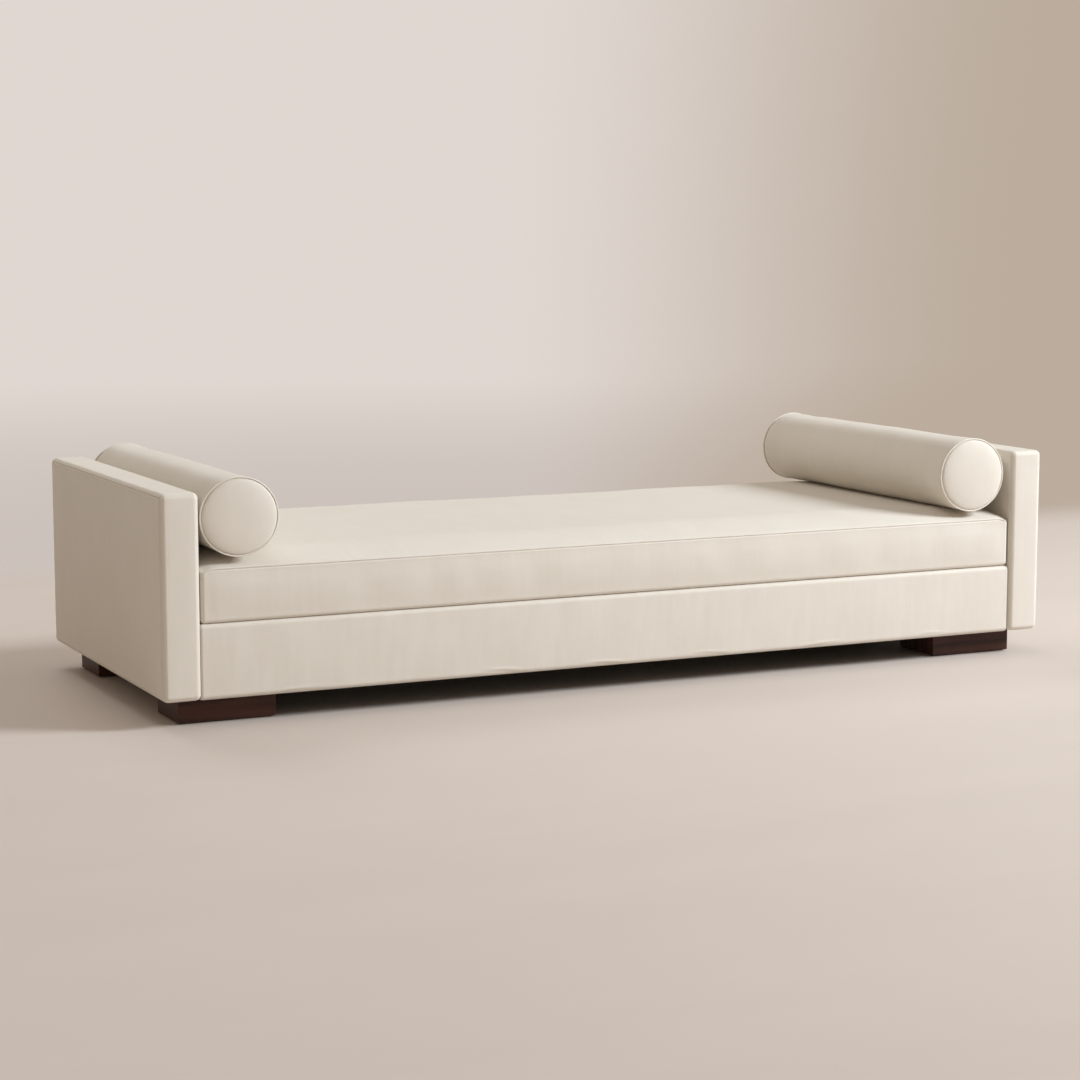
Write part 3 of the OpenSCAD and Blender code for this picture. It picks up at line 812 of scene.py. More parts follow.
def arm_cover(side, seed):
    """One arm's padded cover, with the stitches of its seams."""
    low, high = (np.array(corner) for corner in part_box(f"arm_{side}_cover"))
    lines = [spaced(low[k], high[k], 0.0011, 0.014, 0.010) for k in range(3)]
    grid, faces, sides, _ = box_grid(*lines)
    from_low, from_high = grid - low, high - grid
    in_from_side = np.minimum(from_low[:, 0], from_high[:, 0])
    in_from_rim = np.minimum(from_low[:, 1:], from_high[:, 1:]).min(axis=1)
    over = in_from_rim - in_from_side
    points = round_off(grid, low, high, ARM_R)
    way = outward(points, faces)
    y, z = points[:, 1], points[:, 2]

    # The side that meets the base is drawn flat. The outer one stands slightly full.
    outer_face = -1 if side == "left" else 1
    is_outer = way[:, 0] * outer_face > 0.5
    sewn = ease((z - low[2] - 0.02) / 0.03)
    lift = seam(over - SEAM_IN, SEAM_DEPTH) * (0.35 + 0.65 * sewn)
    fullness = ease(in_from_rim / 0.09)
    lift += np.where(is_outer, ARM_FULL * fullness, 0.0)
    lift += np.where(is_outer, ARM_WAVES * fullness * ripples(seed, 0.18, 0.6)(y, z), 0.0)

    # The strip is pulled snug, so it crowns between its seams.
    strip = ease(in_from_side / 0.03) * (np.abs(way[:, 0]) < 0.3)
    lift += STRIP_FULL * strip
    lift += 0.0003 * strip * ripples(seed + 1, 0.05, 0.22)(y + z, points[:, 0])

    # The thread gathers the cloth beside the seam.
    gather = ripples(seed + 2, 0.011, 0.03)(y, z)
    lift += 0.00016 * gather * hump(over - SEAM_IN, 0.007)
    near_corner = hump(in_from_rim - 0.02, 0.03)
    corner_y = np.minimum(y - low[1], high[1] - y)
    corner_z = np.minimum(z - low[2], high[2] - z)
    at_corner = np.exp(-(corner_y + corner_z) / 0.05)
    fan = np.arctan2(corner_z, corner_y)
    lift += 0.0005 * at_corner * near_corner * np.sin(11 * fan + seed)
    meets = way[:, 0] * outer_face < -0.5
    lift = np.where(meets, np.minimum(lift, 0.0003), lift)
    points = points + way * lift[:, None]
    threads = side_threads(grid, faces, sides)
    cover = make_piece(f"{side}_arm_cover", points, faces.tolist(), ivory_cloth, threads)
    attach(cover, "frame")
    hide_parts(f"arm_{side}_cover", f"arm_{side}_padding")

    # Small stitches hold the seam allowance down, on the strip's side of each seam.
    paths = []
    turn = math.atan2(ARM_R - SEAM_IN + STITCH_BESIDE, ARM_R)
    reach = ARM_R * math.sin(turn)
    sunk = ARM_R - ARM_R * math.cos(turn) - 0.0002
    for x in (low[0] + sunk, high[0] - sunk):
        path = [(x, low[1] + ARM_R - reach, low[2] + SEAM_START_UP)]
        for step in range(18):
            # Half the steps turn the front corner, and half the back one.
            angle = math.pi * (1 - (step if step < 9 else step - 1) / 16)
            core_y = high[1] - ARM_R if step >= 9 else low[1] + ARM_R
            y_at = core_y + reach * math.cos(angle)
            path.append((x, y_at, high[2] - ARM_R + reach * math.sin(angle)))
        path.append((x, high[1] - ARM_R + reach, low[2] + SEAM_START_UP))
        paths.append(path)
    stitches = row(f"{side}_arm_stitches", paths, thread, pitch=0.0052, long=0.0036, thick=0.0006)
    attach(stitches, "frame")


arm_cover("left", 41)
arm_cover("right", 61)

# ---- Seat cushion ----
# A foam block wrapped in wadding, in a boxed cover of the ivory cloth: top, bottom and a
# side band sewn between them. The filling crowns the top and holds the seams taut.


SWELL_SHARE = 0.6


def points_of(mesh):
    found = np.zeros(len(mesh.vertices) * 3)
    mesh.vertices.foreach_get("co", found)
    return found.reshape(-1, 3)


def swell(points, faces, hold, frames, cap):
    """How far each point of a cover moves when it is filled. hold is how firmly the
    filling keeps each point where it is, from 0 to 1, and cap is the most it may move."""
    mesh = bpy.data.meshes.new("filled")
    mesh.from_pydata(points.tolist(), [], faces)
    shell = bpy.data.objects.new("filled", mesh)
    scene.collection.objects.link(shell)
    group = shell.vertex_groups.new(name="hold")
    levels = np.round(hold, 2)
    for level in np.unique(levels):
        chosen = np.nonzero(levels == level)[0].tolist()
        group.add(chosen, float(level), "REPLACE")
    cloth = shell.modifiers.new("filling", "CLOTH")
    cloth.settings.quality = 4
    cloth.settings.mass = 0.25
    cloth.settings.tension_stiffness = 22
    cloth.settings.compression_stiffness = 22
    cloth.settings.shear_stiffness = 8
    cloth.settings.bending_stiffness = 2.5
    cloth.settings.vertex_group_mass = "hold"
    cloth.settings.pin_stiffness = 6
    cloth.settings.use_pressure = True
    cloth.settings.uniform_pressure_force = 3.0
    cloth.settings.shrink_min = -0.012
    cloth.settings.effector_weights.gravity = 0
    cloth.collision_settings.use_collision = False
    cloth.point_cache.frame_start = 1
    cloth.point_cache.frame_end = frames
    for step in range(1, frames + 1):
        scene.frame_set(step)
    evaluated = shell.evaluated_get(bpy.context.evaluated_depsgraph_get())
    moved = points_of(evaluated.data) - points
    bpy.data.objects.remove(shell)
    scene.frame_set(1)
    length = np.linalg.norm(moved, axis=1)
    limit = np.minimum(1.0, cap / np.maximum(length, 1e-9))
    return moved * limit[:, None]


def between(lines, values, wanted, wraps=False):
    """Values given on evenly spaced lines, carried smoothly to the wanted places."""
    count = len(lines)
    at = (np.asarray(wanted) - lines[0]) / (lines[1] - lines[0])
    at = at if wraps else np.clip(at, 0, count - 1.000001)
    first = np.floor(at).astype(int)
    share = (at - first).reshape((-1,) + (1,) * (values.ndim - 1))
    picked = []
    for step in (-1, 0, 1, 2):
        index = (first + step) % count if wraps else np.clip(first + step, 0, count - 1)
        picked.append(values[index])
    a, b, c, d = picked
    bend = 2 * a - 5 * b + 4 * c - d + share * (3 * (b - c) + d - a)
    return b + 0.5 * share * (c - a + share * bend)


def calm(values, axis, passes, wraps=False):
    """Evens a field out along one axis."""
    count = values.shape[axis]
    index = np.arange(count)
    for _ in range(passes):
        ahead = (index + 1) % count if wraps else np.minimum(index + 1, count - 1)
        behind = (index - 1) % count if wraps else np.maximum(index - 1, 0)
        beside = np.take(values, ahead, axis) + np.take(values, behind, axis)
        values = 0.5 * values + 0.25 * beside
    return values


seat_low, seat_high = (np.array(corner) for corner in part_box("seat_cover"))
SEAT_SEAM_UP = 0.1295
seat_seam_z = seat_low[2] + SEAT_SEAM_UP
SEAT_SEAM_BELOW = 0.0028
SEAT_CORNER_R = 0.010
SEAT_RUN = (0.080, 0.190)
SEAT_ROUND = (0.5, 0.68)
CORNER_DIP = 0.0075
CORNER_DIP_RUN = 0.019
BAND_FULL = 0.0014
FOLD_DEPTH = 0.00034
TOP_WAVES = 0.0011
BOLSTER_PRESS = 0.0016


def corner_dip(x, y, low, high):
    """How far the seam dips where it turns a corner of the cushion."""
    in_x = np.minimum(x - low[0], high[0] - x)
    in_y = np.minimum(y - low[1], high[1] - y)
    return CORNER_DIP * hump(np.hypot(in_x, in_y), CORNER_DIP_RUN)


def seat_shape(grid, low, high, seam_z):
    """Turns points on a box, as high as the upper seam, into the boxed cushion."""
    tall = (high[0], high[1], seam_z + 1.0)
    points = round_off(grid, low, tall, SEAT_CORNER_R)
    on_top = grid[:, 2] > seam_z - 1e-9
    rise = np.ones(len(grid))
    for axis in (0, 1):
        in_from = np.minimum(grid[:, axis] - low[axis], high[axis] - grid[:, axis])
        share = np.clip(in_from / SEAT_RUN[axis], 0, 1)
        rise *= np.clip(1 - (1 - share) ** 2, 0, 1) ** SEAT_ROUND[axis]
    points[:, 2] = np.where(on_top, seam_z + (high[2] - seam_z) * rise, points[:, 2])
    up = np.clip((grid[:, 2] - low[2]) / (seam_z - low[2]), 0, 1)
    points[:, 2] -= up**3 * corner_dip(grid[:, 0], grid[:, 1], low, high)
    return points, on_top


def seat_cushion():
    low, high = seat_low, seat_high
    lines = (
        spaced(low[0], high[0], 0.0013, 0.013, 0.0115),
        spaced(low[1], high[1], 0.0013, 0.013, 0.0115),
        spaced(low[2], seat_seam_z, 0.0010, 0.011, 0.0085),
    )
    grid, faces, sides, patches = box_grid(*lines)
    points, on_top = seat_shape(grid, low, high, seat_seam_z)
    in_from_rim = np.minimum(grid[:, :2] - low[:2], high[:2] - grid[:, :2]).min(axis=1)

    # The cover is filled as a coarse one first, and its swelling is carried over to this one.
    rough_lines = (
        np.linspace(low[0], high[0], 93),
        np.linspace(low[1], high[1], 39),
        np.linspace(low[2], seat_seam_z, 8),
    )
    rough, rough_faces, _, rough_patches = box_grid(*rough_lines)
    form, top_of_form = seat_shape(rough, low, high, seat_seam_z)
    rim = np.minimum(rough[:, :2] - low[:2], high[:2] - rough[:, :2]).min(axis=1)
    hold = np.where(rough[:, 2] < low[2] + 1e-6, 1.0, 0.10)
    at_seam = top_of_form & (rim < 1e-6)
    hold = np.where(at_seam, 0.9, hold)
    hold = np.where(top_of_form & ~at_seam, 0.06, hold)
    hold = np.where(form[:, 1] > high[1] - 0.001, 1.0, hold)
    moved = swell(form, rough_faces.tolist(), hold, frames=20, cap=0.010)
    carried = np.zeros_like(points)
    for (b, c, number), (_, _, rough_number) in zip(patches, rough_patches):
        field = calm(calm(moved[rough_number], 0, 6), 1, 2)
        field = between(rough_lines[b], field, lines[b])
        field = between(rough_lines[c], field.swapaxes(0, 1), lines[c]).swapaxes(0, 1)
        in_b, in_c = (np.minimum(k - k[0], k[-1] - k) for k in (lines[b], lines[c]))
        fade = ease(in_b / 0.045)[:, None] * ease(in_c / 0.045)[None]
        carried[number.ravel()] = (field * fade[..., None]).reshape(-1, 3)
    points = points + carried * SWELL_SHARE

    way = outward(points, faces)
    x, y, z = points.T
    below = seat_seam_z - grid[:, 2]
    across = np.where(on_top, in_from_rim, -below)
    lift = seam(across + SEAT_SEAM_BELOW, 0.0019, 0.12)
    is_back = way[:, 1] > 0.7
    is_under = way[:, 2] < -0.7
    lift += np.where(is_under, seam(in_from_rim - 0.012, 0.0011), 0.0)
    is_end = np.abs(way[:, 0]) > 0.7
    from_end = np.minimum(x - low[0], high[0] - x)
    front = np.where(on_top, 0.0, ease((-way[:, 1] - 0.35) / 0.62)) * ease(from_end / 0.12)

    # The band is a little full, and gathers where it is sewn to the top.
    band_share = np.clip((grid[:, 2] - low[2]) / SEAT_SEAM_UP, 0, 1)
    lift += BAND_FULL * front * np.sin(math.pi * band_share)
    draw = np.random.default_rng(71)
    folds = np.zeros(len(x))
    for _ in range(30):
        middle = draw.uniform(low[0] + 0.05, high[0] - 0.05)
        width = draw.uniform(0.014, 0.034)
        strength = draw.uniform(-1.0, 0.7)
        lean = draw.uniform(-0.10, 0.10)
        depth = draw.uniform(0.03, 0.10)
        beside = x - middle - lean * below
        folds += strength * hump(beside, width) * np.exp(-((below / depth) ** 2))
    lift += FOLD_DEPTH * front * folds
    lift += 0.0003 * front * ripples(72, 0.10, 0.5)(x, z)

    # The top lies nearly smooth, with a few broad, shallow waves in it.
    settle = ease(in_from_rim / 0.10)
    waves = TOP_WAVES * ripples(73, 0.25, 0.9)(x, y) + 0.0003 * ripples(74, 0.07, 0.18)(x, y)
    lift += np.where(on_top, settle * waves, 0.0)
    gathers = ripples(75, 0.014, 0.04)(x, y)
    lift += np.where(is_back | is_under, 0.0, 0.00016 * gathers * hump(across, 0.010))
    rests = [np.array(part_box(f"bolster_{side}_core")).mean(axis=0)[0] for side in SIDES]
    for rest in rests:
        pressed = hump(x - rest, 0.050) * ease((0.475 - np.abs(y)) / 0.03)
        lift -= np.where(on_top, BOLSTER_PRESS * pressed, 0.0)
    lift = np.where(is_under, np.minimum(lift, 0.0), lift)
    lift = np.where(is_back, np.clip(lift, -0.0016, 0.0), lift)
    lift = np.where(is_end, np.clip(lift, -0.0016, 0.0008), lift)
    points = points + way * lift[:, None]
    # Nothing comes lower than the deck, and the top stays under the bolsters.
    points[:, 2] = np.maximum(points[:, 2], low[2])
    under_bolster = np.max([hump(points[:, 0] - rest, 0.075) for rest in rests], axis=0)
    roof = high[2] + 0.0045 * (1 - under_bolster) - 0.0002
    points[:, 2] = np.minimum(points[:, 2], roof)
    threads = side_threads(grid, faces, sides)
    cushion = make_piece("seat_cushion_cover", points, faces.tolist(), ivory_cloth, threads)
    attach(cushion, "seat_cushion")
    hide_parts("seat_cover", "seat_wadding")

    # A line of stitches lies in the seam's groove, all round the top.
    reach = SEAT_CORNER_R - 0.0017
    middle = 0.5 * (low[:2] + high[:2])
    to_core = 0.5 * (high[:2] - low[:2]) - SEAT_CORNER_R
    path = []
    for quarter, corner in enumerate(((1, 1), (-1, 1), (-1, -1), (1, -1))):
        core = middle + to_core * corner
        for step in range(7):
            angle = math.pi / 2 * (quarter + step / 6)
            x_at = core[0] + reach * math.cos(angle)
            y_at = core[1] + reach * math.sin(angle)
            dip = corner_dip(x_at, y_at, low, high)
            path.append((x_at, y_at, seat_seam_z - SEAT_SEAM_BELOW - dip))
    path.append(path[0])
    stitches = row("seat_cushion_stitches", [path], thread, pitch=0.0048, long=0.0036, thick=0.0007)
    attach(stitches, "seat_cushion")


seat_cushion()

foam, tree, shader = new_finish("seat_foam", {"Specular IOR Level": 0.2})
place = own_place(tree)
cell = put(tree, "TexVoronoi", {"Vector": place, "Scale": 520.0}, feature="SMOOTH_F1")
cloud = noise(tree, place, 5.0, detail=3.0)
colour = tint(tree, cell, (0.60, 0.48, 0.26), (0.80, 0.70, 0.45))
coat(tree, shader, colour, spread(tree, cloud, 0.8, 0.95), cell, depth=0.0008, strength=0.8)


def foam_block():
    low, high = (np.array(corner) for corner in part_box("seat_core"))
    seam_z = low[2] + SEAT_SEAM_UP - 0.018
    grid, faces, _, _ = box_grid(
        spaced(low[0], high[0], 0.004, 0.012, 0.045),
        spaced(low[1], high[1], 0.004, 0.012, 0.045),
        spaced(low[2], seam_z, 0.004, 0.012, 0.030),
    )
    points, _ = seat_shape(grid, low, high, seam_z)
    block = make_piece("seat_foam_block", points, faces.tolist(), foam)
    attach(block, "seat_cushion")
    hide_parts("seat_core")


foam_block()

# ---- Bolsters ----
# Two round foam bolsters in loose covers: a tube with a domed cap at each end, and a thin
# ring of covered cord sewn between tube and cap. They have settled a little under their
# own weight, and rest in the seat cushion's top.

DOME = 0.013
BOLSTER_TURNS = 168
ZIP_BELOW = math.radians(38)
SETTLED = {"left": (0.990, 0.956), "right": (1.018, 0.994)}
TUBE_FULL = 0.0015
TUBE_WAVES = 0.0007
TUBE_SUNK = 0.0010
CAP_SUNK = 0.0036
FOAM_IN = 0.002


def bolster_line(radius, half, steps):
    """Distances along a bolster's outline, from the middle of one cap to the other, with
    the reach from the axis and the place along it at each."""
    whole = 2 * radius + 2 * half
    steps = np.asarray(steps)
    from_end = np.minimum(steps, whole - steps)
    share = np.minimum(from_end / radius, 1.0)
    dome = DOME * np.sqrt(np.maximum(0.0, 1 - share**2.6))
    along = np.where(from_end < radius, half + dome, half + radius - from_end)
    return radius * share, np.where(steps < whole / 2, -along, along)


def bolster_grid(radius, half, turns, steps):
    """Points and faces of a bolster about its own middle, lying along Y, with the numbers
    of its points by ring and turn and the angles of its turns."""
    reach, along = bolster_line(radius, half, steps)
    angles = np.linspace(0, 2 * math.pi, turns, endpoint=False)
    ring = np.stack([np.cos(angles), np.zeros(turns), np.sin(angles)], 1)
    body = reach[1:-1, None, None] * ring[None]
    body[..., 1] = along[1:-1, None]
    rows = len(steps) - 2
    poles = np.array([[0, along[0], 0], [0, along[-1], 0]])
    points = np.concatenate([body.reshape(-1, 3), poles])
    number = np.arange(rows * turns).reshape(rows, turns)
    nxt = np.roll(number, -1, axis=1)
    quads = np.stack([number[:-1], number[1:], nxt[1:], nxt[:-1]], -1).reshape(-1, 4)
    faces = quads.tolist()
    first, last = rows * turns, rows * turns + 1
    faces += [[first, number[0, i], nxt[0, i]] for i in range(turns)]
    faces += [[last, nxt[-1, i], number[-1, i]] for i in range(turns)]
    return points, faces, number, angles


REST_SOFT = 0.0016


def settle(points, side, radius):
    """Points about a bolster's middle, once its filling has settled."""
    wide, tall = SETTLED[side]
    return np.stack(
        [points[:, 0] * wide, points[:, 1], (points[:, 2] + radius) * tall - radius], 1
    )


def bolster_cover(side, seed):
    core_low, core_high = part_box(f"bolster_{side}_core")
    low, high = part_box(f"bolster_{side}_cover")
    middle = np.array((low + high) / 2)
    radius = (high.z - low.z) / 2
    half = (high.y - low.y) / 2 - DOME
    rings = (radius, radius + 2 * half)
    whole = 2 * (radius + half)
    steps = np.concatenate(
        [
            spaced(0, rings[0], 0.0014, 0.010, 0.0075),
            spaced(*rings, 0.0014, 0.010, 0.0095)[1:],
            spaced(rings[1], whole, 0.0014, 0.010, 0.0075)[1:],
        ]
    )
    points, faces, _, angles = bolster_grid(radius, half, BOLSTER_TURNS, steps)
    inner_steps = steps[1:-1]
    s = np.repeat(inner_steps, BOLSTER_TURNS)
    angle = np.tile(angles, len(inner_steps))
    tube = (s > rings[0]) & (s < rings[1])
    from_ring = np.minimum(np.abs(s - rings[0]), np.abs(s - rings[1]))
    from_zip = (angle + ZIP_BELOW + math.pi) % (2 * math.pi) - math.pi

    rough_turns = 44
    rough_steps = np.linspace(0, whole, 84)
    form, form_faces, form_number, rough_angles = bolster_grid(
        radius, half, rough_turns, rough_steps
    )
    hold = np.full(len(form), 0.05)
    for ring in rings:
        near = np.abs(rough_steps[1:-1] - ring) < 0.009
        hold[form_number[near].ravel()] = 0.9
    moved = swell(form, form_faces, hold, frames=18, cap=0.008)
    field = moved[form_number]
    first, last = moved[-2], moved[-1]
    ends = np.ones((1, rough_turns, 1))
    field = np.concatenate([ends * first, field, ends * last])
    field = calm(calm(field, 1, 26, wraps=True), 0, 4)
    field = between(rough_steps, field, inner_steps)
    field = between(rough_angles, field.swapaxes(0, 1), angles, wraps=True)
    carried = field.swapaxes(0, 1).reshape(-1, 3)
    free = np.where(tube, ease(from_ring / 0.100), 0.0) * (1 - hump(from_zip, 0.30))
    points[:-2] += carried * SWELL_SHARE * free[:, None]

    beside_zip = hump(from_zip, 0.26)
    lift = -np.where(tube, TUBE_SUNK, CAP_SUNK) * hump(from_ring, 0.0028)
    lift += np.where(tube, TUBE_FULL * ease((from_ring - 0.001) / 0.009), 0.0)
    gather = ripples(seed, 0.012, 0.034)(angle * radius, s * 0.15)
    lift += 0.00022 * gather * np.exp(-from_ring / 0.012)
    waves = ripples(seed + 1, 0.14, 0.5)(angle * radius, s)
    fine = ripples(seed + 2, 0.035, 0.09)(angle * radius * 0.5, s)
    loose = ease((from_ring - 0.004) / 0.08)
    lift += np.where(tube, loose * (TUBE_WAVES * waves + 0.00010 * fine), 0.0)
    lift *= 1 - beside_zip
    # The tube's own seam runs behind the zip.
    lift = np.where(tube & (beside_zip > 0.9), np.minimum(lift, 0.0), lift)
    axis_out = np.stack([np.cos(angle), np.zeros(len(s)), np.sin(angle)], 1)
    cap_out = np.stack([np.zeros(len(s)), np.sign(s - whole / 2), np.zeros(len(s))], 1)
    way = np.where(tube[:, None], axis_out, cap_out)
    points[:-2] += way * lift[:, None]

    # It settles a little wider than it is tall, and lies flat where it touches the seat.
    points = settle(points, side, radius)
    gap = (points[:, 2] + radius) / REST_SOFT
    rested = REST_SOFT * np.log1p(np.exp(np.clip(gap, -40, 4))) - radius
    share = np.where(gap < 4, ease((half - 0.004 - np.abs(points[:, 1])) / 0.05), 0.0)
    points[:, 2] += share * (rested - points[:, 2])
    points += middle

    corners = np.concatenate(faces)
    u_of = np.concatenate([angle * radius, [0.0, 0.0]])
    v_of = np.concatenate([s, [0.0, whole]])
    on_cap = np.concatenate([~tube, [True, True]])
    flat_u = np.where(on_cap, points[:, 0], v_of)
    flat_v = np.where(on_cap, points[:, 2], u_of)
    sizes = np.array([len(f) for f in faces])
    face_of = np.repeat(np.arange(len(faces)), sizes)
    corner_u, corner_v = flat_u[corners], flat_v[corners]
    # A face across the start of the turn reads past the end of it instead.
    tube_corner = ~on_cap[corners]
    highest = np.full(len(faces), -1e9)
    np.maximum.at(highest, face_of, np.where(tube_corner, corner_v, -1e9))
    turn_length = 2 * math.pi * radius
    wrap = tube_corner & (highest[face_of] - corner_v > turn_length / 2)
    corner_v = corner_v + wrap * turn_length
    threads = np.stack([corner_u, corner_v], 1)
    cover = make_piece(f"{side}_bolster_cover", points, faces, ivory_cloth, threads)
    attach(cover, f"bolster_{side}")
    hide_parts(f"bolster_{side}_cover", f"bolster_{side}_wadding")

    # The foam inside is cut to a plain round, with its ends a little domed.
    core_middle = np.array((core_low + core_high) / 2)
    core_radius = (core_high.z - core_low.z) / 2 - FOAM_IN
    core_half = (core_high.y - core_low.y) / 2 - DOME - FOAM_IN
    core_steps = np.linspace(0, 2 * (core_radius + core_half), 40)
    core_points, core_faces, _, _ = bolster_grid(core_radius, core_half, 48, core_steps)
    core_points = settle(core_points, side, radius) + core_middle
    core = make_piece(f"{side}_bolster_foam", core_points, core_faces, foam)
    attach(core, f"bolster_{side}")
    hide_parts(f"bolster_{side}_core")
    return middle, radius, half


bolsters = {"left": bolster_cover("left", 81), "right": bolster_cover("right", 91)}

# The cord between tube and cap is covered in the same cloth, cut on the bias.
piping_cloth, tree, shader = new_finish("bias_piping", {"Sheen Weight": 0.2})
place = own_place(tree)
bias = wave(tree, place, 260.0, 1.0, bands_direction="DIAGONAL")
slub = noise(tree, place, 300.0, detail=3.0)
share = blend(tree, (bias, 0.35), (slub, 0.65))
colour = tint(tree, share, IVORY_DARK, tuple(1.06 * c for c in IVORY_LIGHT))
coat(tree, shader, colour, spread(tree, slub, 0.45, 0.6), share, depth=0.0003, strength=0.7)


def ring_maker():
    """Geometry nodes that make a cord round each end of a bolster."""
    inputs = (("Ring radius", "Float"), ("Cord radius", "Float"), ("Apart", "Float"))
    group, add, join, given, end_with = node_rule("piping_rings", *inputs)
    circle, profile = (add("GeometryNodeCurvePrimitiveCircle") for _ in range(2))
    circle.inputs["Resolution"].default_value = 180
    profile.inputs["Resolution"].default_value = 12
    join(given.outputs["Ring radius"], circle.inputs["Radius"])
    join(given.outputs["Cord radius"], profile.inputs["Radius"])
    cord = add("GeometryNodeCurveToMesh")
    join(circle.outputs["Curve"], cord.inputs["Curve"])
    join(profile.outputs["Curve"], cord.inputs["Profile Curve"])
    upright = add("GeometryNodeTransform")
    upright.inputs["Rotation"].default_value = (math.pi / 2, 0, 0)
    join(cord.outputs["Mesh"], upright.inputs["Geometry"])
    both = add("GeometryNodeJoinGeometry")
    for share in (-0.5, 0.5):
        scaled = add("ShaderNodeMath")
        scaled.operation = "MULTIPLY"
        scaled.inputs[1].default_value = share
        join(given.outputs["Apart"], scaled.inputs[0])
        offset, moved = add("ShaderNodeCombineXYZ"), add("GeometryNodeTransform")
        join(scaled.outputs[0], offset.inputs["Y"])
        join(offset.outputs[0], moved.inputs["Translation"])
        join(upright.outputs["Geometry"], moved.inputs["Geometry"])
        join(moved.outputs["Geometry"], both.inputs["Geometry"])
    end_with(both.outputs[0])
    return group


piping_rings = ring_maker()
PIPING_R = 0.0021
PIPING_OUT = 0.0007
for side in SIDES:
    middle, radius, half = bolsters[side]
    values = {
        "Ring radius": radius + PIPING_OUT,
        "Cord radius": PIPING_R,
        "Apart": 2 * half,
        "Finish": piping_cloth,
    }
    start = bpy.data.meshes.new("rings")
    piping = follow(piping_rings, f"{side}_bolster_piping", start, values)
    found = points_of(piping.data)
    turn = np.arctan2(found[:, 2], found[:, 0])
    found[:, 1] += PIPING_OUT * np.sign(found[:, 1])
    found[:, 1] += 0.00025 * np.sin(5 * turn + 1) + 0.00012 * np.sin(13 * turn)
    found = settle(found, side, radius) + middle
    piping.data.vertices.foreach_set("co", found.ravel())
    piping.data.update()
    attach(piping, f"bolster_{side}")
    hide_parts(f"bolster_{side}_piping")

# ---- Zips ----
# A nylon coil zip on a cotton tape closes the back of the seat cushion's band, and one
# runs along the lower side of each bolster. The sliders are plated, with a flat pull.

tape_cloth, tree, shader = new_finish("zip_tape", {"Sheen Weight": 0.15})
place = own_place(tree)
rib = wave(tree, place, 420.0, 0.6, bands_direction="DIAGONAL")
lint = noise(tree, place, 500.0, detail=3.0)
share = blend(tree, (rib, 0.6), (lint, 0.4))
colour = tint(tree, share, (0.52, 0.45, 0.35), (0.72, 0.65, 0.54))
coat(tree, shader, colour, spread(tree, lint, 0.65, 0.85), share, depth=0.0002, strength=0.7)

coil_nylon, tree, shader = new_finish("zip_coil", {"Specular IOR Level": 0.5})
gloss = noise(tree, own_place(tree), 800.0, detail=2.0)
colour = tint(tree, gloss, (0.60, 0.53, 0.42), (0.74, 0.67, 0.56))
coat(tree, shader, colour, spread(tree, gloss, 0.25, 0.4), gloss, depth=0.00003, strength=0.4)

plated, tree, shader = new_finish("plated_zip_metal", {"Metallic": 1.0})
place = own_place(tree)
wear = noise(tree, place, 420.0, detail=4.0, roughness=0.65)
brushed = noise(tree, stretched(tree, place, (1.0, 1.0, 0.1)), 2500.0, detail=2.0)
colour = tint(tree, wear, (0.42, 0.40, 0.37), (0.72, 0.70, 0.66))
coat(tree, shader, colour, spread(tree, wear, 0.18, 0.36), brushed, depth=0.00002, strength=0.5)


TOOTH_ALONG = 0.00125
TOOTH_ACROSS = 0.0032
TOOTH_OFF = 0.0009


def tooth_maker():
    """Geometry nodes for a coil zip's teeth: two rows of beads along Y, half a pitch
    apart, with X out of the tape and Z across it."""
    inputs = (("Teeth", "Int"), ("Pitch", "Float"), ("Height", "Float"))
    group, add, join, given, end_with = node_rule("coil_teeth", *inputs)
    bead, both = bead_in(add), add("GeometryNodeJoinGeometry")
    offset = add("ShaderNodeCombineXYZ")
    join(given.outputs["Pitch"], offset.inputs["Y"])
    for row_side in (-1, 1):
        size, shape = add("ShaderNodeCombineXYZ"), add("GeometryNodeTransform")
        join(given.outputs["Height"], size.inputs["X"])
        size.inputs["Y"].default_value = TOOTH_ALONG
        size.inputs["Z"].default_value = TOOTH_ACROSS
        join(bead.outputs["Mesh"], shape.inputs["Geometry"])
        join(size.outputs[0], shape.inputs["Scale"])
        start, shift = add("ShaderNodeCombineXYZ"), add("ShaderNodeMath")
        shift.operation = "MULTIPLY"
        shift.inputs[1].default_value = 0.25 * row_side
        join(given.outputs["Pitch"], shift.inputs[0])
        join(shift.outputs[0], start.inputs["Y"])
        start.inputs["Z"].default_value = TOOTH_OFF * row_side
        line, placed = add("GeometryNodeMeshLine"), add("GeometryNodeInstanceOnPoints")
        join(given.outputs["Teeth"], line.inputs["Count"])
        join(start.outputs[0], line.inputs["Start Location"])
        join(offset.outputs[0], line.inputs["Offset"])
        join(line.outputs["Mesh"], placed.inputs["Points"])
        join(shape.outputs["Geometry"], placed.inputs["Instance"])
        join(placed.outputs[0], both.inputs["Geometry"])
    end_with(both.outputs[0])
    return group


coil_teeth = tooth_maker()
TAPE_W = 0.022
TAPE_T = 0.0009
TAPE_APART = 0.0004
TAPE_SEAM = 0.0088
COIL_UP = 0.0018
COIL_PITCH = 0.0024
COIL_SHORT = 0.012


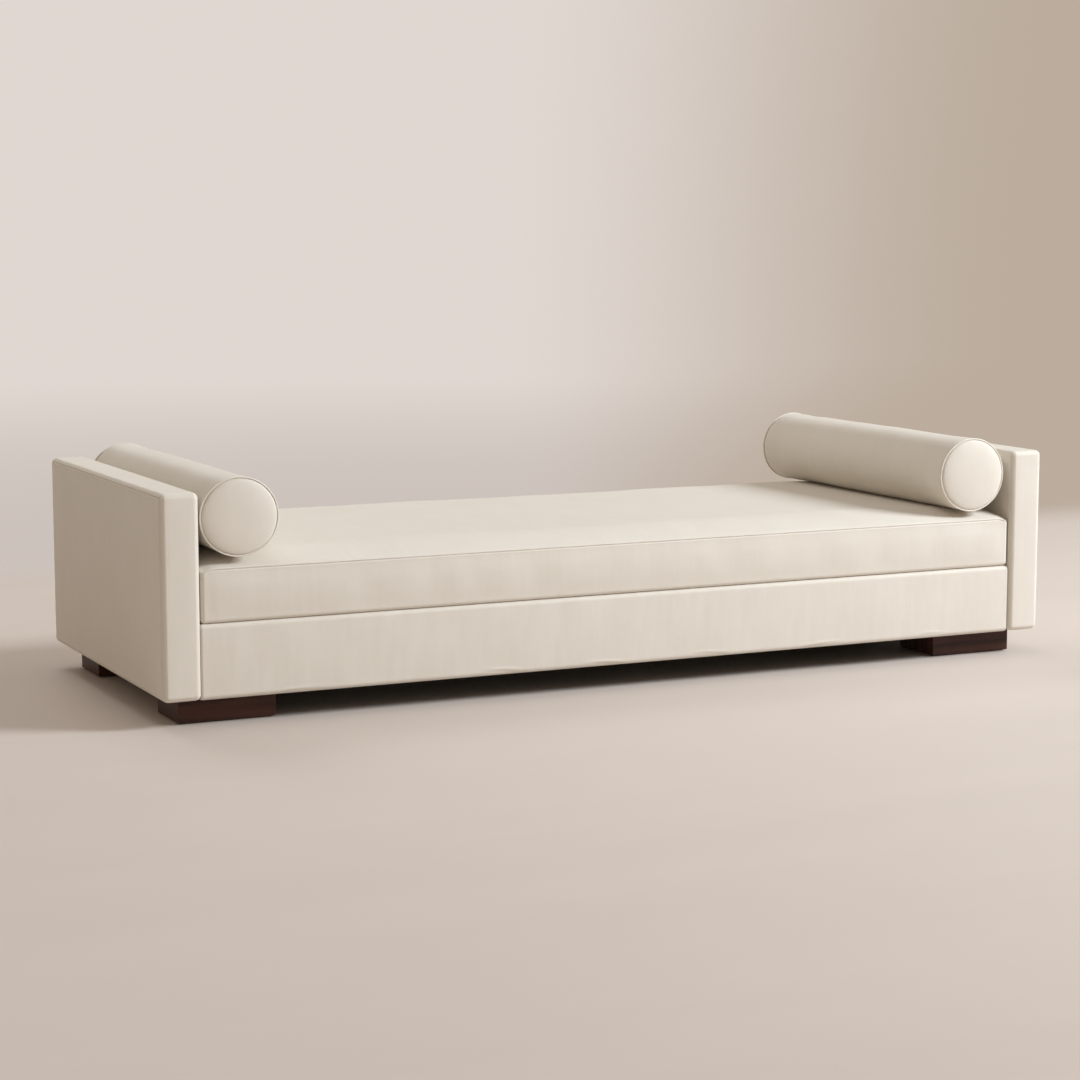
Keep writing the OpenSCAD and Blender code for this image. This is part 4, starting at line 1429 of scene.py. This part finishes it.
def plate(outline, low, high, hole=None):
    """A flat plate along X from its outline in Y and Z, with a hole if one is given."""
    count = len(outline)
    rims = [outline] if hole is None else [outline, hole]
    points = [(x, *p) for rim in rims for x in (low, high) for p in rim]
    faces = []
    for part, rim in enumerate(rims):
        start = part * 2 * count
        for i in range(count):
            j = (i + 1) % count
            wall = [start + i, start + j, start + count + j, start + count + i]
            faces.append(wall if part == 0 else wall[::-1])
    if hole is None:
        faces.append(list(range(count))[::-1])
        faces.append(list(range(count, 2 * count)))
    else:
        for i in range(count):
            j = (i + 1) % count
            faces.append([j, i, 2 * count + i, 2 * count + j])
            faces.append([count + i, count + j, 3 * count + j, 3 * count + i])
    return points, faces


def oval(cy, cz, ry, rz, count, square):
    """An oval outline, squarer as square goes below 1."""
    found = []
    for i in range(count):
        a = 2 * math.pi * i / count
        y, z = (math.copysign(abs(k) ** square, k) for k in (math.cos(a), math.sin(a)))
        found.append((cy + ry * y, cz + rz * z))
    return found


def slider_parts(way):
    """A slider about its own middle: its top plate, two flanges, a bridge and the pull.
    way is 1 where the pull lies towards +Y."""
    parts = []
    shield = oval(0, 0, 0.0070, 0.0050, 24, 0.62)
    shield = [(y, z * (1 - 0.20 * max(0.0, -way * y) / 0.007)) for y, z in shield]
    parts.append(plate(shield, 0.0031, 0.0044))
    for edge in (-1, 1):
        flange = oval(0, edge * 0.0041, 0.0064, 0.0008, 16, 0.5)
        parts.append(plate(flange, 0.0013, 0.0034))
    bridge = oval(-way * 0.0005, 0, 0.0034, 0.0011, 16, 0.6)
    parts.append(plate(bridge, 0.0044, 0.0058))
    pull = oval(way * 0.0040, 0, 0.0110, 0.0030, 32, 0.55)
    gap = oval(way * 0.0100, 0, 0.0026, 0.0015, 32, 0.8)
    parts.append(plate(pull, 0.0058, 0.0067, gap))
    return parts


def tape_lines(low, high):
    return (
        np.linspace(low[0], high[0], 3),
        np.linspace(low[1], high[1], int((high[1] - low[1]) / 0.02) + 1),
        spaced(low[2], high[2], 0.0004, 0.0008, 0.0022),
    )


def zip_fastener(name, body, slider_body, replaced, place_of, length, slider_y, way):
    """A zip and its slider. place_of turns the zip's own points, with X out of the cloth,
    Y along the zip and Z across it, into places on the daybed."""
    start, end = -length / 2, length / 2
    tapes = [
        ((0.0, start, -TAPE_W / 2), (TAPE_T, end, -TAPE_APART)),
        ((0.0, start, TAPE_APART), (TAPE_T, end, TAPE_W / 2)),
    ]
    points, faces = rounded_boxes(tapes, 0.0003, tape_lines)
    tape = make_piece(name + "_tape", place_of(points), faces, tape_cloth)
    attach(tape, body)
    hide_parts(replaced)

    teeth = int((length - COIL_SHORT) / COIL_PITCH)
    values = {"Teeth": teeth, "Pitch": COIL_PITCH, "Height": COIL_UP, "Finish": coil_nylon}
    coil = follow(coil_teeth, name + "_coil", bpy.data.meshes.new("coil"), values)
    found = points_of(coil.data)
    found = found + [TAPE_T + 0.4 * COIL_UP, -(teeth - 1) * COIL_PITCH / 2, 0]
    coil.data.vertices.foreach_set("co", place_of(found).ravel())
    coil.data.update()
    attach(coil, body)

    seams = []
    for z in (-TAPE_SEAM, TAPE_SEAM):
        line = np.array([[TAPE_T, y, z] for y in (start + 0.004, end - 0.004)])
        seams.append(place_of(line).tolist())
    stitches = row(name + "_stitches", seams, thread, pitch=0.0040, long=0.0030, thick=0.0006)
    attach(stitches, body)

    points, faces = [], []
    for part_points, part_faces in slider_parts(way):
        faces += [[len(points) + i for i in f] for f in part_faces]
        points += part_points
    points = place_of(np.array(points) + [0, slider_y, 0])
    slider = make_piece(name + "_slider", points, faces, plated)
    ease_edges(slider, width=0.00022, segments=2, angle=45)
    slider = as_plain_mesh(slider, name + "_slider")
    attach(slider, slider_body)
    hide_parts(replaced + "_slider")


zip_low, zip_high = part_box("seat_zip")
slider_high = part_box("seat_zip_slider")[1]
zip_middle = (zip_low + zip_high) / 2
SLIDER_HALF = 0.007


def on_seat_back(p):
    return np.stack([zip_middle.x - p[:, 1], zip_low.y + p[:, 0], zip_middle.z + p[:, 2]], 1)


zip_fastener(
    "seat_zipper",
    "seat_cushion",
    "seat_slider",
    "seat_zip",
    on_seat_back,
    zip_high.x - zip_low.x,
    zip_middle.x - slider_high.x + SLIDER_HALF,
    1,
)
for side in SIDES:
    middle, radius, half = bolsters[side]
    low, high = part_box(f"bolster_{side}_zip")
    slider_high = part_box(f"bolster_{side}_zip_slider")[1]

    def on_bolster(p, middle=middle, radius=radius, side=side):
        out, across = radius + p[:, 0], p[:, 2]
        x = out * math.cos(ZIP_BELOW) + across * math.sin(ZIP_BELOW)
        z = across * math.cos(ZIP_BELOW) - out * math.sin(ZIP_BELOW)
        return np.stack([middle[0] + x, middle[1] + p[:, 1], middle[2] + z], 1)

    zip_fastener(
        f"{side}_bolster_zipper",
        f"bolster_{side}",
        f"{side}_slider",
        f"bolster_{side}_zip",
        on_bolster,
        high.y - low.y,
        slider_high.y - SLIDER_HALF - middle[1],
        -1,
    )

# ---- Studio ----
# A plain pale floor that fades into a pale glowing backdrop, with painted shade at its foot
# behind the daybed and towards one side. It is lit by one broad lamp from the right, a little
# to the front, a weak one from the back left, and a warm surround.

BACKDROP = (0.745, 0.679, 0.638)
# Painted shade: the backdrop is darker at its foot behind the daybed, and darker still towards one
# side.
BACKDROP_PAINTED_FOOT_SHADE = (0.605, 0.540, 0.500)
BACKDROP_PAINTED_SIDE_SHADE = (0.500, 0.415, 0.340)
FLOOR = (0.640, 0.560, 0.500)


def fade_in(tree, value, start, end):
    """Goes smoothly from 0 at start to 1 at end."""
    inputs = {"Value": value, 1: start, 2: end}
    return put(tree, "MapRange", inputs, interpolation_type="SMOOTHSTEP")


def how_far(tree, place):
    return put(tree, "VectorMath", {0: place}, operation="LENGTH").node.outputs["Value"]


def backdrop_glow(tree, place):
    """Pale all round; behind the daybed, painted shade darkens it at its foot and towards one side.
    """
    way = put(tree, "VectorMath", {0: place}, operation="NORMALIZE")
    sideways = put(tree, "SeparateXYZ", {"Vector": way})
    behind = fade_in(tree, sideways.node.outputs["Y"], 0.15, 0.50)
    # Painted shade: behind the daybed, the backdrop darkens towards its foot, near the daybed.
    rise = fade_in(tree, how_far(tree, place), 12.0, 3.0)
    # Painted shade: behind the daybed, the backdrop darkens towards its +X side.
    painted_side_shade = fade_in(tree, sideways, 0.40, 0.66)
    colour = tint(tree, maths(tree, "MULTIPLY", rise, behind), BACKDROP, BACKDROP_PAINTED_FOOT_SHADE)
    colour = tint(tree, maths(tree, "MULTIPLY", painted_side_shade, behind), colour, BACKDROP_PAINTED_SIDE_SHADE)
    return put(tree, "Emission", {"Color": colour})


def floor_finish():
    material, tree, shader = new_finish("pale_floor", {"Specular IOR Level": 0.25})
    place = own_place(tree)
    cloud = noise(tree, stretched(tree, place, (0.5, 3.0, 1.0)), 1.3, detail=5.0, roughness=0.6)
    lighter = tuple(1.04 * c for c in FLOOR)
    darker = tuple(0.96 * c for c in FLOOR)
    wire(tree, tint(tree, cloud, darker, lighter), shader, "Base Color")
    wire(tree, spread(tree, cloud, 0.5, 0.62), shader, "Roughness")
    behind = put(tree, "SeparateXYZ", {"Vector": place}).node.outputs["Y"]
    away = fade_in(tree, how_far(tree, place), 3.4, 6.5)
    cove = fade_in(tree, behind, 1.75, 2.45)
    fade = maths(tree, "MAXIMUM", away, cove)
    # Away from the daybed the floor glows with the backdrop's colour, its painted shade included.
    glow = backdrop_glow(tree, place)
    mixed = put(tree, "MixShader", {0: fade, 1: shader.outputs[0], 2: glow})
    tree.links.new(mixed, tree.nodes["Material Output"].inputs["Surface"])
    return material


STUDIO_R = 14.0
bpy.ops.mesh.primitive_circle_add(vertices=96, radius=STUDIO_R, fill_type="NGON")
floor = bpy.context.object
floor.name = "floor"
floor.data.materials.append(floor_finish())

backdrop_finish = bpy.data.materials.new("backdrop")
backdrop_finish.use_nodes = True
tree = backdrop_finish.node_tree
glow = backdrop_glow(tree, own_place(tree))
tree.links.new(glow, tree.nodes["Material Output"].inputs["Surface"])
bpy.ops.mesh.primitive_uv_sphere_add(segments=64, ring_count=32, radius=STUDIO_R - 0.1)
backdrop = bpy.context.object
backdrop.name = "backdrop"
backdrop.data.materials.append(backdrop_finish)
for ray in ("diffuse", "glossy", "shadow", "transmission"):
    setattr(backdrop, "visible_" + ray, False)

world = bpy.data.worlds.new("surround")
scene.world = world
world.use_nodes = True
glow_all_round = world.node_tree.nodes["Background"]
glow_all_round.inputs["Color"].default_value = (1.0, 0.875, 0.745, 1.0)
glow_all_round.inputs["Strength"].default_value = 0.43


LAMP_AIM = Vector((0.0, 0.0, 0.3))


def lamp(name, place, size, power, colour):
    light = bpy.data.objects.new(name, bpy.data.lights.new(name, "AREA"))
    scene.collection.objects.link(light)
    light.data.shape = "DISK"
    light.data.size = size
    light.data.energy = power
    light.data.color = colour
    light.location = place
    light.rotation_mode = "QUATERNION"
    light.rotation_quaternion = (LAMP_AIM - Vector(place)).to_track_quat("-Z", "Y")


lamp("key_lamp", (6.9, -4.4, 5.0), size=3.2, power=1050.0, colour=(0.838, 0.918, 1.0))
lamp("rim_lamp", (-1.2, 3.4, 4.6), size=3.0, power=76.0, colour=(0.93, 0.96, 1.0))
